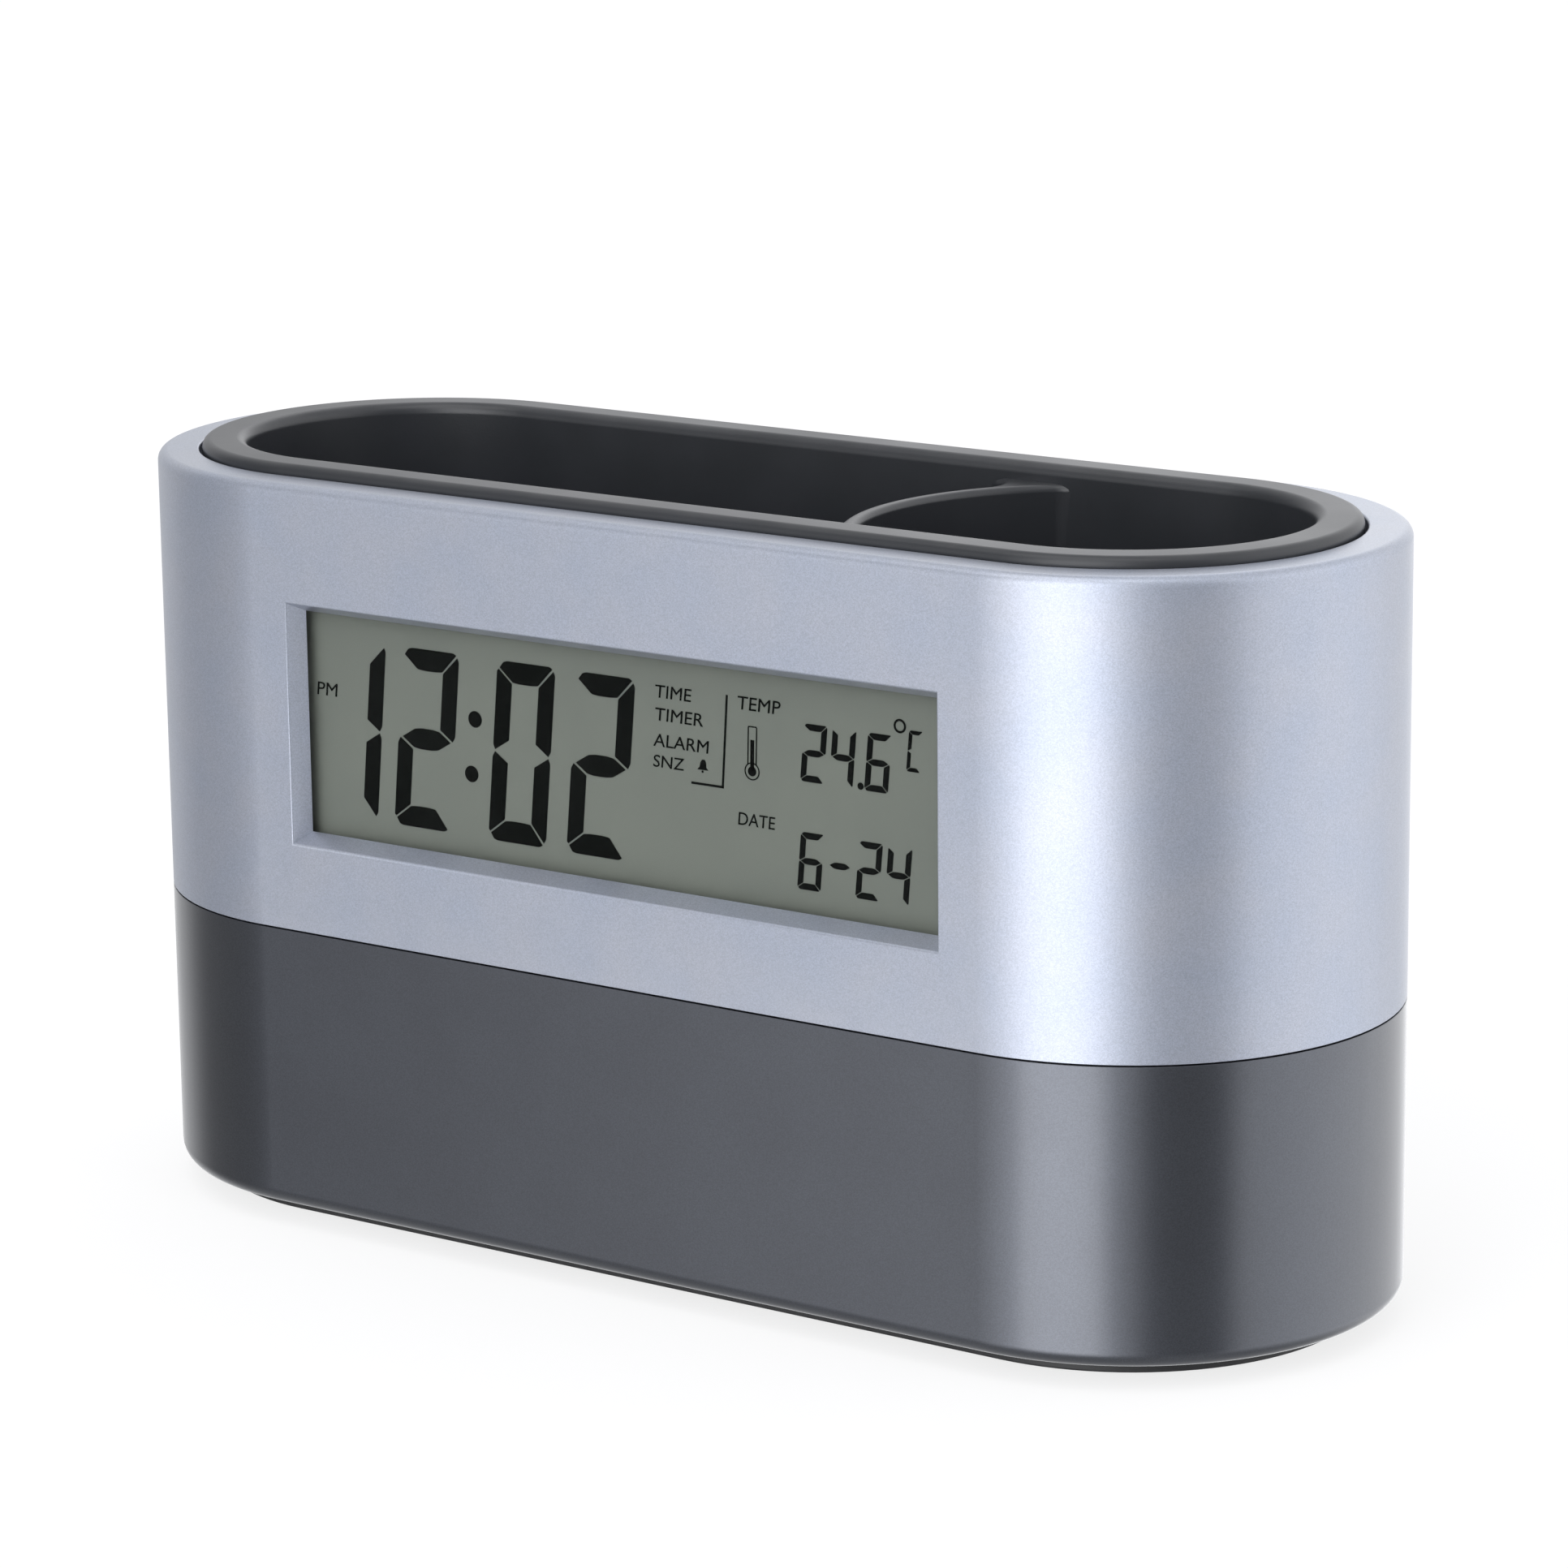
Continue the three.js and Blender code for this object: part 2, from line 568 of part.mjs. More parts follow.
function baseShell() {
    const outer = new THREE.Path();
    const r = BASE_EDGE_RADIUS;
    outer.moveTo(r, BASE_BOTTOM);
    outer.absarc(r, BASE_BOTTOM + r, r, (3 * Math.PI) / 2, Math.PI, true);
    outer.lineTo(0, BASE_TOP);
    const tongue = slab(WALL - TONGUE_THICKNESS, BASE_TOP - CUT, BASE_TOP + TONGUE_HEIGHT);
    const hollow = slab(WALL, BASE_BOTTOM + FLANGE_THICKNESS, BASE_TOP + TONGUE_HEIGHT + CUT);
    const mouth = slab(FLANGE_WIDTH, BASE_BOTTOM - CUT, BASE_BOTTOM + FLANGE_THICKNESS + CUT);
    const bay = box(
        -DOOR_HALF - DOOR_GAP,
        DOOR_HALF + DOOR_GAP,
        BACK_INSIDE - CUT,
        BACK + CUT,
        BAY_Z0,
        BAY_Z1,
    );
    const socket = rod(
        'x',
        DOOR_PIN_RADIUS + DOOR_PIN_CLEARANCE,
        -DOOR_HALF - DOOR_PIN_LENGTH - FIT,
        DOOR_HALF + DOOR_PIN_LENGTH + FIT,
        [HINGE_Y, HINGE_Z],
        16,
    );
    const posts = [-EAR_X, EAR_X].map((x) => rod(
        'y',
        BOSS_RADIUS,
        EAR_Y0 + TRAY_EAR_THICKNESS + FIT,
        BACK - WALL / 2,
        [x, EAR_Z],
        16,
    ));
    const bores = [-EAR_X, EAR_X].map((x) => rod(
        'y',
        SMALL_SCREW_RADIUS + SCREW_FIT,
        EAR_Y0 + TRAY_EAR_THICKNESS,
        BACK_INSIDE - FIT,
        [x, EAR_Z],
        12,
    ));
    const body = cut(union(loft(outer), tongue), hollow, mouth, bay, socket);
    return cut(union(body, ...posts), ...bores);
}

function caseScrewPlaces() {
    const places = {};
    for (const [row, y] of [['front', -CASE_SCREW_Y], ['rear', CASE_SCREW_Y]]) {
        places[`${row}_left`] = [-CASE_SCREW_X, y];
        places[`${row}_right`] = [CASE_SCREW_X, y];
    }
    return places;
}

function footPlaces() {
    const places = {};
    for (const [row, y] of [['front', -FOOT_Y], ['rear', FOOT_Y]]) {
        places[`${row}_left`] = [-FOOT_X, y];
        places[`${row}_right`] = [FOOT_X, y];
    }
    return places;
}

function basePlate() {
    const ribOuter = FLANGE_WIDTH + FIT;
    const ribTop = PLATE_TOP + PLATE_RIB_HEIGHT;
    const rib = cut(
        slab(ribOuter, PLATE_TOP - CUT, ribTop),
        slab(ribOuter + PLATE_RIB_THICKNESS, PLATE_TOP - 2 * CUT, ribTop + CUT),
    );
    const screwAt = Object.values(caseScrewPlaces());
    const padTop = PLATE_TOP + CASE_PAD_HEIGHT;
    const pads = screwAt.map((at) => rod('z', CASE_PAD_RADIUS, PLATE_TOP - CUT, padTop, at));
    const headTop = PLATE_BOTTOM + CASE_HEAD_SINK + CASE_HEAD_HEIGHT + SCREW_FIT;
    const pockets = screwAt.flatMap((at) => [
        rod('z', CASE_HEAD_RADIUS + FIT, PLATE_BOTTOM - CUT, headTop, at),
        rod('z', CASE_SCREW_RADIUS + SCREW_FIT, PLATE_BOTTOM - CUT, padTop + CUT, at, 12),
    ]);
    const seats = Object.values(footPlaces()).map((at) => (
        rod('z', FOOT_RADIUS + FIT, PLATE_BOTTOM - CUT, PLATE_BOTTOM + FOOT_SEAT, at)));
    const slabBody = cut(slab(PLATE_INSET, PLATE_BOTTOM, PLATE_TOP), ...seats);
    return cut(union(slabBody, rib, ...pads, buzzerSeat()), ...pockets, ...soundHoles());
}

function buzzerSeat() {
    const floor = PLATE_TOP - CUT;
    const shoulder = PLATE_TOP + BUZZER_SEAT_HEIGHT;
    const wall = BUZZER_RADIUS + FIT + BUZZER_SEAT_WALL;
    const at = [0, BUZZER_Y];
    return cut(
        rod('z', wall, floor, shoulder + 3 * BUZZER_THICKNESS, at, 32),
        rod('z', BUZZER_RADIUS + FIT, shoulder, shoulder + CUT + BUZZER_SEAT_WALL, at, 32),
        rod('z', BUZZER_RADIUS - BUZZER_SEAT_WALL, floor - CUT, shoulder + CUT, at, 32),
    );
}

function soundHoles() {
    const holes = [[0, BUZZER_Y]];
    for (let i = 0; i < 6; i += 1) {
        const angle = (i * Math.PI) / 3;
        holes.push([SOUND_HOLE_RING * Math.cos(angle), BUZZER_Y + SOUND_HOLE_RING * Math.sin(angle)]);
    }
    return holes.map((at) => rod('z', SOUND_HOLE_RADIUS, PLATE_BOTTOM - CUT, PLATE_TOP + CUT, at, 8));
}

function foot(at) {
    return union(
        rod('z', FOOT_RADIUS, FOOT_STEP, PLATE_BOTTOM + FOOT_SEAT - SOLDERED, at),
        rod('z', FOOT_RADIUS - FOOT_STEP, 0, FOOT_STEP_HEIGHT, at),
    );
}

function caseScrew(at) {
    return screw(
        'z',
        at,
        PLATE_BOTTOM + CASE_HEAD_SINK,
        1,
        CASE_HEAD_RADIUS,
        CASE_HEAD_HEIGHT,
        CASE_SCREW_RADIUS,
        CASE_SCREW_LENGTH,
    );
}

// Cup liner: lip, drafted walls, floor, divider and the bosses that take the case screws
function cavityInset(z) {
    return CAVITY + LINER_DRAFT * (LIP_TOP - z);
}

function linerCavity() {
    const r = LIP_INNER_RADIUS;
    const f = FLOOR_FILLET;
    const low = cavityInset(FLOOR_TOP);
    const path = new THREE.Path();
    path.moveTo(low + f, FLOOR_TOP);
    path.absarc(low + f, FLOOR_TOP + f, f, (3 * Math.PI) / 2, Math.PI, true);
    path.lineTo(CAVITY, LIP_TOP - r);
    path.absarc(CAVITY - r, LIP_TOP - r, r, 0, Math.PI / 2);
    path.lineTo(CAVITY - r, LIP_TOP + CUT);
    return loft(path);
}

function linerBody() {
    const lipPath = new THREE.Path();
    const r = LIP_OUTER_RADIUS;
    lipPath.moveTo(LIP_OUTER, LIP_BOTTOM);
    lipPath.lineTo(LIP_OUTER, LIP_TOP - r);
    lipPath.absarc(LIP_OUTER + r, LIP_TOP - r, r, Math.PI, Math.PI / 2, true);
    const walls = slab(
        cavityInset(FLOOR_BOTTOM) - LINER_WALL,
        FLOOR_BOTTOM,
        LIP_BOTTOM + CUT,
        cavityInset(LIP_BOTTOM + CUT) - LINER_WALL,
    );
    return { lip: loft(lipPath), walls };
}

// The divider's outline: two arcs that swell into the large cup, with fillets at both side walls
function dividerOutline() {
    const side = WIDTH / 2 - CAVITY;
    const end = side + 3 * DIVIDER_EDGE_RADIUS;
    const f = DIVIDER_FILLET;
    const cy = side - f;
    const centre = DIVIDER_X + DIVIDER_RADIUS;
    const left = DIVIDER_RADIUS + DIVIDER_THICKNESS / 2;
    const right = DIVIDER_RADIUS - DIVIDER_THICKNESS / 2;
    const leftX = centre - Math.sqrt((left + f) ** 2 - cy ** 2);
    const rightX = centre - Math.sqrt((right - f) ** 2 - cy ** 2);
    const leftTurn = Math.atan2(cy, centre - leftX);
    const rightTurn = Math.atan2(cy, centre - rightX);
    const shape = new THREE.Shape();
    shape.moveTo(rightX, -end);
    shape.lineTo(rightX, -side);
    shape.absarc(rightX, -cy, f, -Math.PI / 2, Math.PI + rightTurn, true);
    shape.absarc(centre, 0, right, Math.PI + rightTurn, Math.PI - rightTurn, true);
    shape.absarc(rightX, cy, f, Math.PI - rightTurn, Math.PI / 2, true);
    shape.lineTo(rightX, end);
    shape.lineTo(leftX, end);
    shape.absarc(leftX, cy, f, Math.PI / 2, -leftTurn, true);
    shape.absarc(centre, 0, left, Math.PI - leftTurn, Math.PI + leftTurn);
    shape.absarc(leftX, -cy, f, leftTurn, -Math.PI / 2, true);
    shape.lineTo(leftX, -end);
    shape.closePath();
    return shape;
}

function cupLiner() {
    const { lip, walls } = linerBody();
    const round = DIVIDER_EDGE_RADIUS;
    const bottom = FLOOR_BOTTOM + FLOOR_THICKNESS / 2;
    const wall = extrude('z', dividerOutline(), bottom - round, DIVIDER_TOP, round, { curveSegments: 6 });
    const divider = wall.intersect(union(walls, slab(LIP_OUTER + CUT, LIP_BOTTOM, DIVIDER_TOP + CUT)));
    const shell = cut(union(lip, walls), linerCavity());
    const at = Object.values(caseScrewPlaces());
    const bossBottom = PLATE_TOP + CASE_PAD_HEIGHT + FIT;
    const bosses = at.map((place) => rod('z', CASE_BOSS_RADIUS, bossBottom, FLOOR_BOTTOM + CUT, place));
    const bores = at.map((place) => rod(
        'z',
        CASE_SCREW_RADIUS + SCREW_FIT,
        bossBottom - CUT,
        PLATE_BOTTOM + CASE_HEAD_HEIGHT + CASE_SCREW_LENGTH + CUT,
        place,
        12,
    ));
    const liner = cut(union(shell, divider, ...bosses), ...bores);
    return TRAY_CEILING - FLOOR_BOTTOM > SOLDERED ? stepOverTray(liner, walls) : liner;
}

// Where the cups reach down to the battery tray, their floor steps up over it
function stepOverTray(liner, walls) {
    const space = box(
        -TRAY_X - FIT,
        TRAY_X + FIT,
        TRAY_BACK - FIT,
        BACK,
        FLOOR_BOTTOM - CUT,
        TRAY_CEILING,
    );
    const cover = box(
        -TRAY_X - FIT - LINER_WALL,
        TRAY_X + FIT + LINER_WALL,
        TRAY_BACK - FIT - LINER_WALL,
        BACK,
        FLOOR_BOTTOM,
        TRAY_CEILING + FLOOR_THICKNESS,
    );
    return cut(union(liner, cover.intersect(walls)), space);
}

// Display stack behind the window
function displayLens() {
    return box(-FRAME_X, FRAME_X, LENS_FRONT, LENS_FRONT + LENS_THICKNESS, FRAME_Z0, FRAME_Z1);
}

function lcdPanel() {
    const [low, high] = [GLASS_Z0 + CONTACT_LEDGE, GLASS_Z1 - CONTACT_LEDGE];
    return union(
        box(-GLASS_X, GLASS_X, GLASS_FRONT, GLASS_MIDDLE, GLASS_Z0, GLASS_Z1),
        box(-GLASS_X, GLASS_X, GLASS_MIDDLE - SOLDERED, GLASS_BACK, low, high),
    );
}

function lcdReflector() {
    const inset = CONTACT_LEDGE + FIT;
    return box(
        -GLASS_X + FIT,
        GLASS_X - FIT,
        REFLECTOR_FRONT,
        REFLECTOR_BACK,
        GLASS_Z0 + inset,
        GLASS_Z1 - inset,
    );
}

function lcdFrame() {
    const y0 = GLASS_FRONT;
    const y1 = BOARD_FRONT - SOLDERED;
    return cut(
        box(-FRAME_X, FRAME_X, y0, y1, FRAME_Z0, FRAME_Z1),
        box(-GLASS_X - FIT, GLASS_X + FIT, y0 - CUT, y1 + CUT, GLASS_Z0 - FIT, GLASS_Z1 + FIT),
    );
}

function zebraStrip(z) {
    return box(
        -GLASS_X + FIT,
        GLASS_X - FIT,
        GLASS_MIDDLE + SOLDERED,
        BOARD_FRONT - SOLDERED,
        z - ZEBRA_HEIGHT / 2,
        z + ZEBRA_HEIGHT / 2,
    );
}

function mainBoard() {
    const holes = boardScrewPlaces().map((at) => (
        rod('y', SMALL_SCREW_RADIUS + SCREW_FIT, BOARD_FRONT - CUT, BOARD_BACK + CUT, at, 12)));
    return cut(box(-BOARD_X, BOARD_X, BOARD_FRONT, BOARD_BACK, BOARD_Z0, BOARD_Z1), ...holes);
}

function boardScrew(at) {
    return screw(
        'y',
        at,
        BOARD_BACK + SOLDERED + SMALL_HEAD_HEIGHT,
        -1,
        SMALL_HEAD_RADIUS,
        SMALL_HEAD_HEIGHT,
        SMALL_SCREW_RADIUS,
        BOARD_BACK - FRONT_INSIDE - SMALL_SCREW_END_ROOM,
    );
}

// The bonded chip under its dome of resin, drawn as a cap of a sphere
function chipDome() {
    const sphere = (CHIP_RADIUS ** 2 + CHIP_HEIGHT ** 2) / (2 * CHIP_HEIGHT);
    const points = [new THREE.Vector2(0, 0), new THREE.Vector2(CHIP_RADIUS, 0)];
    for (let i = 0; i <= 5; i += 1) {
        const across = CHIP_RADIUS * Math.cos((i * Math.PI) / 10);
        const rise = Math.sqrt(Math.max(sphere ** 2 - across ** 2, 0)) - (sphere - CHIP_HEIGHT);
        points.push(new THREE.Vector2(i === 5 ? 0 : across, rise + CHIP_EDGE));
    }
    const geometry = new THREE.LatheGeometry(points, 20);
    geometry.translate(0, BOARD_BACK + SOLDERED, (BOARD_Z0 + BOARD_Z1) / 2);
    return solid(geometry);
}

function crystalCan() {
    const y = BOARD_BACK + SOLDERED + CRYSTAL_RADIUS;
    const half = CRYSTAL_LENGTH / 2;
    const at = [y, BOARD_Z0 + SMALL_PARTS_RAISE];
    return rod('x', CRYSTAL_RADIUS, CRYSTAL_X - half, CRYSTAL_X + half, at, 12);
}

function filterCapacitor() {
    const [length, depth, height] = CAPACITOR_SIZE;
    const z = BOARD_Z0 + SMALL_PARTS_RAISE;
    const y = BOARD_BACK + SOLDERED;
    return box(
        CAPACITOR_X - length / 2,
        CAPACITOR_X + length / 2,
        y,
        y + depth,
        z - height / 2,
        z + height / 2,
    );
}

// Keys: each button presses the plunger of a switch on the key board
function button(x) {
    const cap = extrude(
        'y',
        pill(-x, BUTTON_Z, BUTTON_LENGTH, BUTTON_HEIGHT),
        BUTTON_REST,
        BUTTON_FACE,
        BUTTON_EDGE_RADIUS,
    );
    const flange = extrude(
        'y',
        pill(-x, BUTTON_Z, BUTTON_LENGTH + 2 * BUTTON_FLANGE, BUTTON_HEIGHT + 2 * BUTTON_FLANGE),
        BUTTON_REST,
        BUTTON_FLANGE_BACK,
    );
    return union(cap, flange);
}

function tactSwitch(x) {
    const half = SWITCH_SIZE / 2;
    return cut(
        box(x - half, x + half, SWITCH_BASE, SWITCH_FACE, BUTTON_Z - half, BUTTON_Z + half),
        rod('y', PLUNGER_RADIUS + FIT, SWITCH_FACE - SWITCH_WELL, SWITCH_FACE + CUT, [x, BUTTON_Z], 16),
    );
}

function plunger(x) {
    return rod('y', PLUNGER_RADIUS, SWITCH_FACE - PLUNGER_SEAT, BUTTON_REST - SOLDERED, [x, BUTTON_Z], 16);
}

function keyBoard() {
    const half = KEY_BOARD_LENGTH / 2;
    const holes = keyScrewPlaces().map((at) => (
        rod('y', SMALL_SCREW_RADIUS + SCREW_FIT, KEY_BOARD_FRONT - CUT, KEY_BOARD_BACK + CUT, at, 12)));
    return cut(box(-half, half, KEY_BOARD_FRONT, KEY_BOARD_BACK, KEY_BOARD_Z0, KEY_BOARD_Z1), ...holes);
}

function keyScrew(at) {
    return screw(
        'y',
        at,
        KEY_BOARD_FRONT - SOLDERED - SMALL_HEAD_HEIGHT,
        1,
        SMALL_HEAD_RADIUS,
        SMALL_HEAD_HEIGHT,
        SMALL_SCREW_RADIUS,
        BACK_INSIDE - KEY_BOARD_FRONT - SMALL_SCREW_END_ROOM,
    );
}

// The temperature sensor on the key board's end, by the vents
function thermistor() {
    const edge = -KEY_BOARD_LENGTH / 2;
    const y = KEY_BOARD_BACK + SOLDERED;
    const bead = new THREE.SphereGeometry(BEAD_RADIUS, 12, 8);
    bead.translate(edge - BEAD_REACH, y + BEAD_RADIUS / 2, BUTTON_Z);
    const legs = [-BEAD_RADIUS, BEAD_RADIUS].map((spread) => {
        const z = BUTTON_Z + spread / 2;
        return box(edge - BEAD_REACH, edge + BEAD_REACH, y, y + BEAD_LEG, z - BEAD_LEG / 2, z + BEAD_LEG / 2);
    });
    return union(solid(bead), ...legs);
}

// A flat cable that drops from the key board, passes under the cups and climbs to the main board
function ribbonCable() {
    const half = RIBBON_THICKNESS / 2;
    const side = RIBBON_WIDTH / 2;
    const rear = KEY_BOARD_FRONT - SOLDERED - half;
    const front = BOARD_BACK + SOLDERED + half;
    const low = FLOOR_BOTTOM - RIBBON_DROP;
    const turn = RIBBON_TURN;
    const [rearTop, frontTop] = [KEY_BOARD_Z0 + RIBBON_OVERLAP, BOARD_Z0 + RIBBON_OVERLAP];
    const shape = new THREE.Shape();
    shape.moveTo(rear - half, rearTop);
    shape.lineTo(rear - half, low + turn);
    shape.absarc(rear - turn, low + turn, turn - half, 0, -Math.PI / 2, true);
    shape.lineTo(front + turn, low + half);
    shape.absarc(front + turn, low + turn, turn - half, -Math.PI / 2, -Math.PI, true);
    shape.lineTo(front + half, frontTop);
    shape.lineTo(front - half, frontTop);
    shape.lineTo(front - half, low + turn);
    shape.absarc(front + turn, low + turn, turn + half, Math.PI, (3 * Math.PI) / 2);
    shape.lineTo(rear - turn, low - half);
    shape.absarc(rear - turn, low + turn, turn + half, -Math.PI / 2, 0);
    shape.lineTo(rear + half, rearTop);
    shape.closePath();
    return extrude('x', shape, RIBBON_X - side, RIBBON_X + side, 0, { curveSegments: 3 });
}

// Battery bay
function batteryTray() {
    const outside = box(-TRAY_X, TRAY_X, TRAY_BACK, TRAY_MOUTH, TRAY_Z0, TRAY_Z1);
    const inside = box(
        -TRAY_INSIDE_X,
        TRAY_INSIDE_X,
        TRAY_BACK + TRAY_WALL,
        TRAY_MOUTH + CUT,
        TRAY_Z0 + TRAY_WALL,
        TRAY_Z1 - TRAY_WALL,
    );
    const ears = box(
        -TRAY_X - TRAY_EAR_LENGTH,
        TRAY_X + TRAY_EAR_LENGTH,
        EAR_Y0,
        EAR_Y0 + TRAY_EAR_THICKNESS,
        EAR_Z - TRAY_EAR_HEIGHT / 2,
        EAR_Z + TRAY_EAR_HEIGHT / 2,
    );
    const earBack = EAR_Y0 + TRAY_EAR_THICKNESS;
    const holes = [-EAR_X, EAR_X].map((x) => (
        rod('y', SMALL_SCREW_RADIUS + SCREW_FIT, EAR_Y0 - CUT, earBack + CUT, [x, EAR_Z], 12)));
    return cut(union(outside, ears), inside, ...holes);
}

function trayScrew(x) {
    return screw(
        'y',
        [x, EAR_Z],
        EAR_Y0 - SOLDERED - SMALL_HEAD_HEIGHT,
        1,
        SMALL_HEAD_RADIUS,
        SMALL_HEAD_HEIGHT,
        SMALL_SCREW_RADIUS,
        TRAY_EAR_THICKNESS + TRAY_SCREW_BITE,
    );
}

// The door: a flat panel on a round lower edge with a pin at each end, and a notch for a fingertip
function batteryDoor() {
    const inner = BACK - DOOR_THICKNESS;
    const panel = box(-DOOR_HALF, DOOR_HALF, inner, BACK, HINGE_Z, DOOR_Z1);
    const barrel = rod('x', DOOR_BARREL_RADIUS, -DOOR_HALF, DOOR_HALF, [HINGE_Y, HINGE_Z]);
    const pins = rod(
        'x',
        DOOR_PIN_RADIUS,
        -DOOR_HALF - DOOR_PIN_LENGTH,
        DOOR_HALF + DOOR_PIN_LENGTH,
        [HINGE_Y, HINGE_Z],
        16,
    );
    const notch = rod('y', DOOR_NOTCH_RADIUS, BACK - DOOR_NOTCH_DEPTH, BACK + CUT, [0, DOOR_Z1]);
    return cut(union(panel, barrel, pins), notch);
}

// A dry cell along X, its button end towards +X or -X
function cell(z, direction) {
    const body = CELL_LENGTH - CELL_NUB;
    const edge = 0.5;
    const points = [
        [0, 0],
        [CELL_RADIUS - edge, 0],
        [CELL_RADIUS, edge],
        [CELL_RADIUS, body - edge],
        [CELL_RADIUS - edge, body],
        [CELL_NUB_RADIUS, body],
        [CELL_NUB_RADIUS, CELL_LENGTH],
        [0, CELL_LENGTH],
    ].map(([r, along]) => new THREE.Vector2(r, along));
    const geometry = new THREE.LatheGeometry(points, 24);
    geometry.rotateZ((-direction * Math.PI) / 2);
    const start = TRAY_INSIDE_X - SOLDERED - CONTACT_THICKNESS - SOLDERED - CELL_LENGTH;
    geometry.translate(direction * start, CELL_Y, z);
    return solid(geometry);
}

class ConeCoil extends THREE.Curve {
    constructor(from, to, wide, narrow, turns, y, z) {
        super();
        Object.assign(this, { from, to, wide, narrow, turns, y, z });
    }

    getPoint(t, target = new THREE.Vector3()) {
        const radius = this.wide + (this.narrow - this.wide) * t;
        const angle = 2 * Math.PI * this.turns * t;
        const x = this.from + (this.to - this.from) * t;
        return target.set(x, this.y + radius * Math.cos(angle), this.z + radius * Math.sin(angle));
    }
}

function tube(curve, radius, sides, steps) {
    const section = new THREE.Shape();
    for (let i = 0; i < sides; i += 1) {
        const angle = (2 * Math.PI * i) / sides;
        const [x, y] = [radius * Math.cos(angle), radius * Math.sin(angle)];
        if (i === 0) section.moveTo(x, y);
        else section.lineTo(x, y);
    }
    section.closePath();
    return solid(new THREE.ExtrudeGeometry(section, { steps, extrudePath: curve, bevelEnabled: false }));
}

// A cone spring from its contact plate to the flat end of a cell
function contactSpring(z, side) {
    const wire = SPRING_WIRE_RADIUS;
    const plate = TRAY_INSIDE_X - SOLDERED - CONTACT_THICKNESS;
    const from = side * (plate - SOLDERED - wire);
    const to = side * (plate - SPRING_LENGTH + wire);
    const coil = new ConeCoil(from, to, SPRING_RADIUS, SPRING_TIP_RADIUS, SPRING_TURNS, CELL_Y, z);
    return tube(coil, wire, 5, SPRING_TURNS * 8);
}

function contactPlate(side, z0, z1) {
    const outer = TRAY_INSIDE_X - SOLDERED;
    const xs = [side * outer, side * (outer - CONTACT_THICKNESS)].sort((a, b) => a - b);
    return box(
        xs[0],
        xs[1],
        CELL_Y - CONTACT_WIDTH / 2,
        CELL_Y + CONTACT_WIDTH / 2,
        z0 - CONTACT_REACH,
        z1 + CONTACT_REACH,
    );
}

function buzzerDisc() {
    const z = PLATE_TOP + BUZZER_SEAT_HEIGHT + SOLDERED;
    const at = [0, BUZZER_Y];
    return union(
        rod('z', BUZZER_RADIUS, z, z + BUZZER_THICKNESS, at, 32),
        rod('z', BUZZER_CERAMIC_RADIUS, z + BUZZER_THICKNESS / 2, z + 2 * BUZZER_THICKNESS, at, 32),
    );
}

// A lead from the tray's end, across the base and up to the main board
function batteryLead(startZ, lane, crossing) {
    const front = BOARD_BACK + SOLDERED + 0.2 + LEAD_RADIUS;
    const start = -TRAY_X - SOLDERED - LEAD_RADIUS - 0.2;
    const points = [
        [start, CELL_Y + 2, startZ],
        [start - 0.2, CELL_Y - 3, startZ],
        [lane + 3, TRAY_BACK - 3, (startZ + crossing) / 2],
        [lane, 5, crossing],
        [lane, -12, crossing],
        [lane + 0.5, front + 4, crossing + 4],
        [lane + 1, front, FLOOR_TOP + 2],
        [lane + 1, front, BOARD_Z0 + 5],
    ].map(([x, y, z]) => new THREE.Vector3(x, y, z));
    return tube(new THREE.CatmullRomCurve3(points, false, 'centripetal'), LEAD_RADIUS, 8, 26);
}

// Assembly
const clock = new THREE.Group();

function add(name, manifold, finish) {
    const mesh = new THREE.Mesh(toGeometry(manifold), new THREE.MeshStandardMaterial(FINISHES[finish]));
    mesh.name = name;
    clock.add(mesh);
}

add('upper_shell', upperShell(), 'silverPaint');
add('base_shell', baseShell(), 'greyPaint');
add('cup_liner', cupLiner(), 'darkPlastic');
add('base_plate', basePlate(), 'blackPlastic');

for (const [place, at] of Object.entries(footPlaces())) {
    add(`foot_${place}`, foot(at), 'rubber');
}
for (const [place, at] of Object.entries(caseScrewPlaces())) {
    add(`case_screw_${place}`, caseScrew(at), 'steel');
}

add('display_lens', displayLens(), 'clearPlastic');
add('lcd_panel', lcdPanel(), 'displayGlass');
add('lcd_reflector', lcdReflector(), 'reflector');
add('lcd_frame', lcdFrame(), 'blackPlastic');
add('zebra_strip_upper', zebraStrip(GLASS_Z1 - CONTACT_LEDGE / 2), 'zebraRubber');
add('zebra_strip_lower', zebraStrip(GLASS_Z0 + CONTACT_LEDGE / 2), 'zebraRubber');
add('main_board', mainBoard(), 'boardGreen');
add('chip_dome', chipDome(), 'epoxy');
add('crystal_can', crystalCan(), 'steel');
add('filter_capacitor', filterCapacitor(), 'zebraRubber');
boardScrewPlaces().forEach((at, i) => add(`board_screw_${i + 1}`, boardScrew(at), 'steel'));

BUTTON_NAMES.forEach((name, i) => {
    const x = buttonX(i);
    add(`button_${name}`, button(x), 'darkPlastic');
    add(`plunger_${name}`, plunger(x), 'blackPlastic');
    add(`tact_switch_${name}`, tactSwitch(x), 'steel');
});
add('key_board', keyBoard(), 'boardGreen');
keyScrewPlaces().forEach((at, i) => add(`key_board_screw_${i + 1}`, keyScrew(at), 'steel'));
add('thermistor', thermistor(), 'epoxy');
add('ribbon_cable', ribbonCable(), 'greyRibbon');

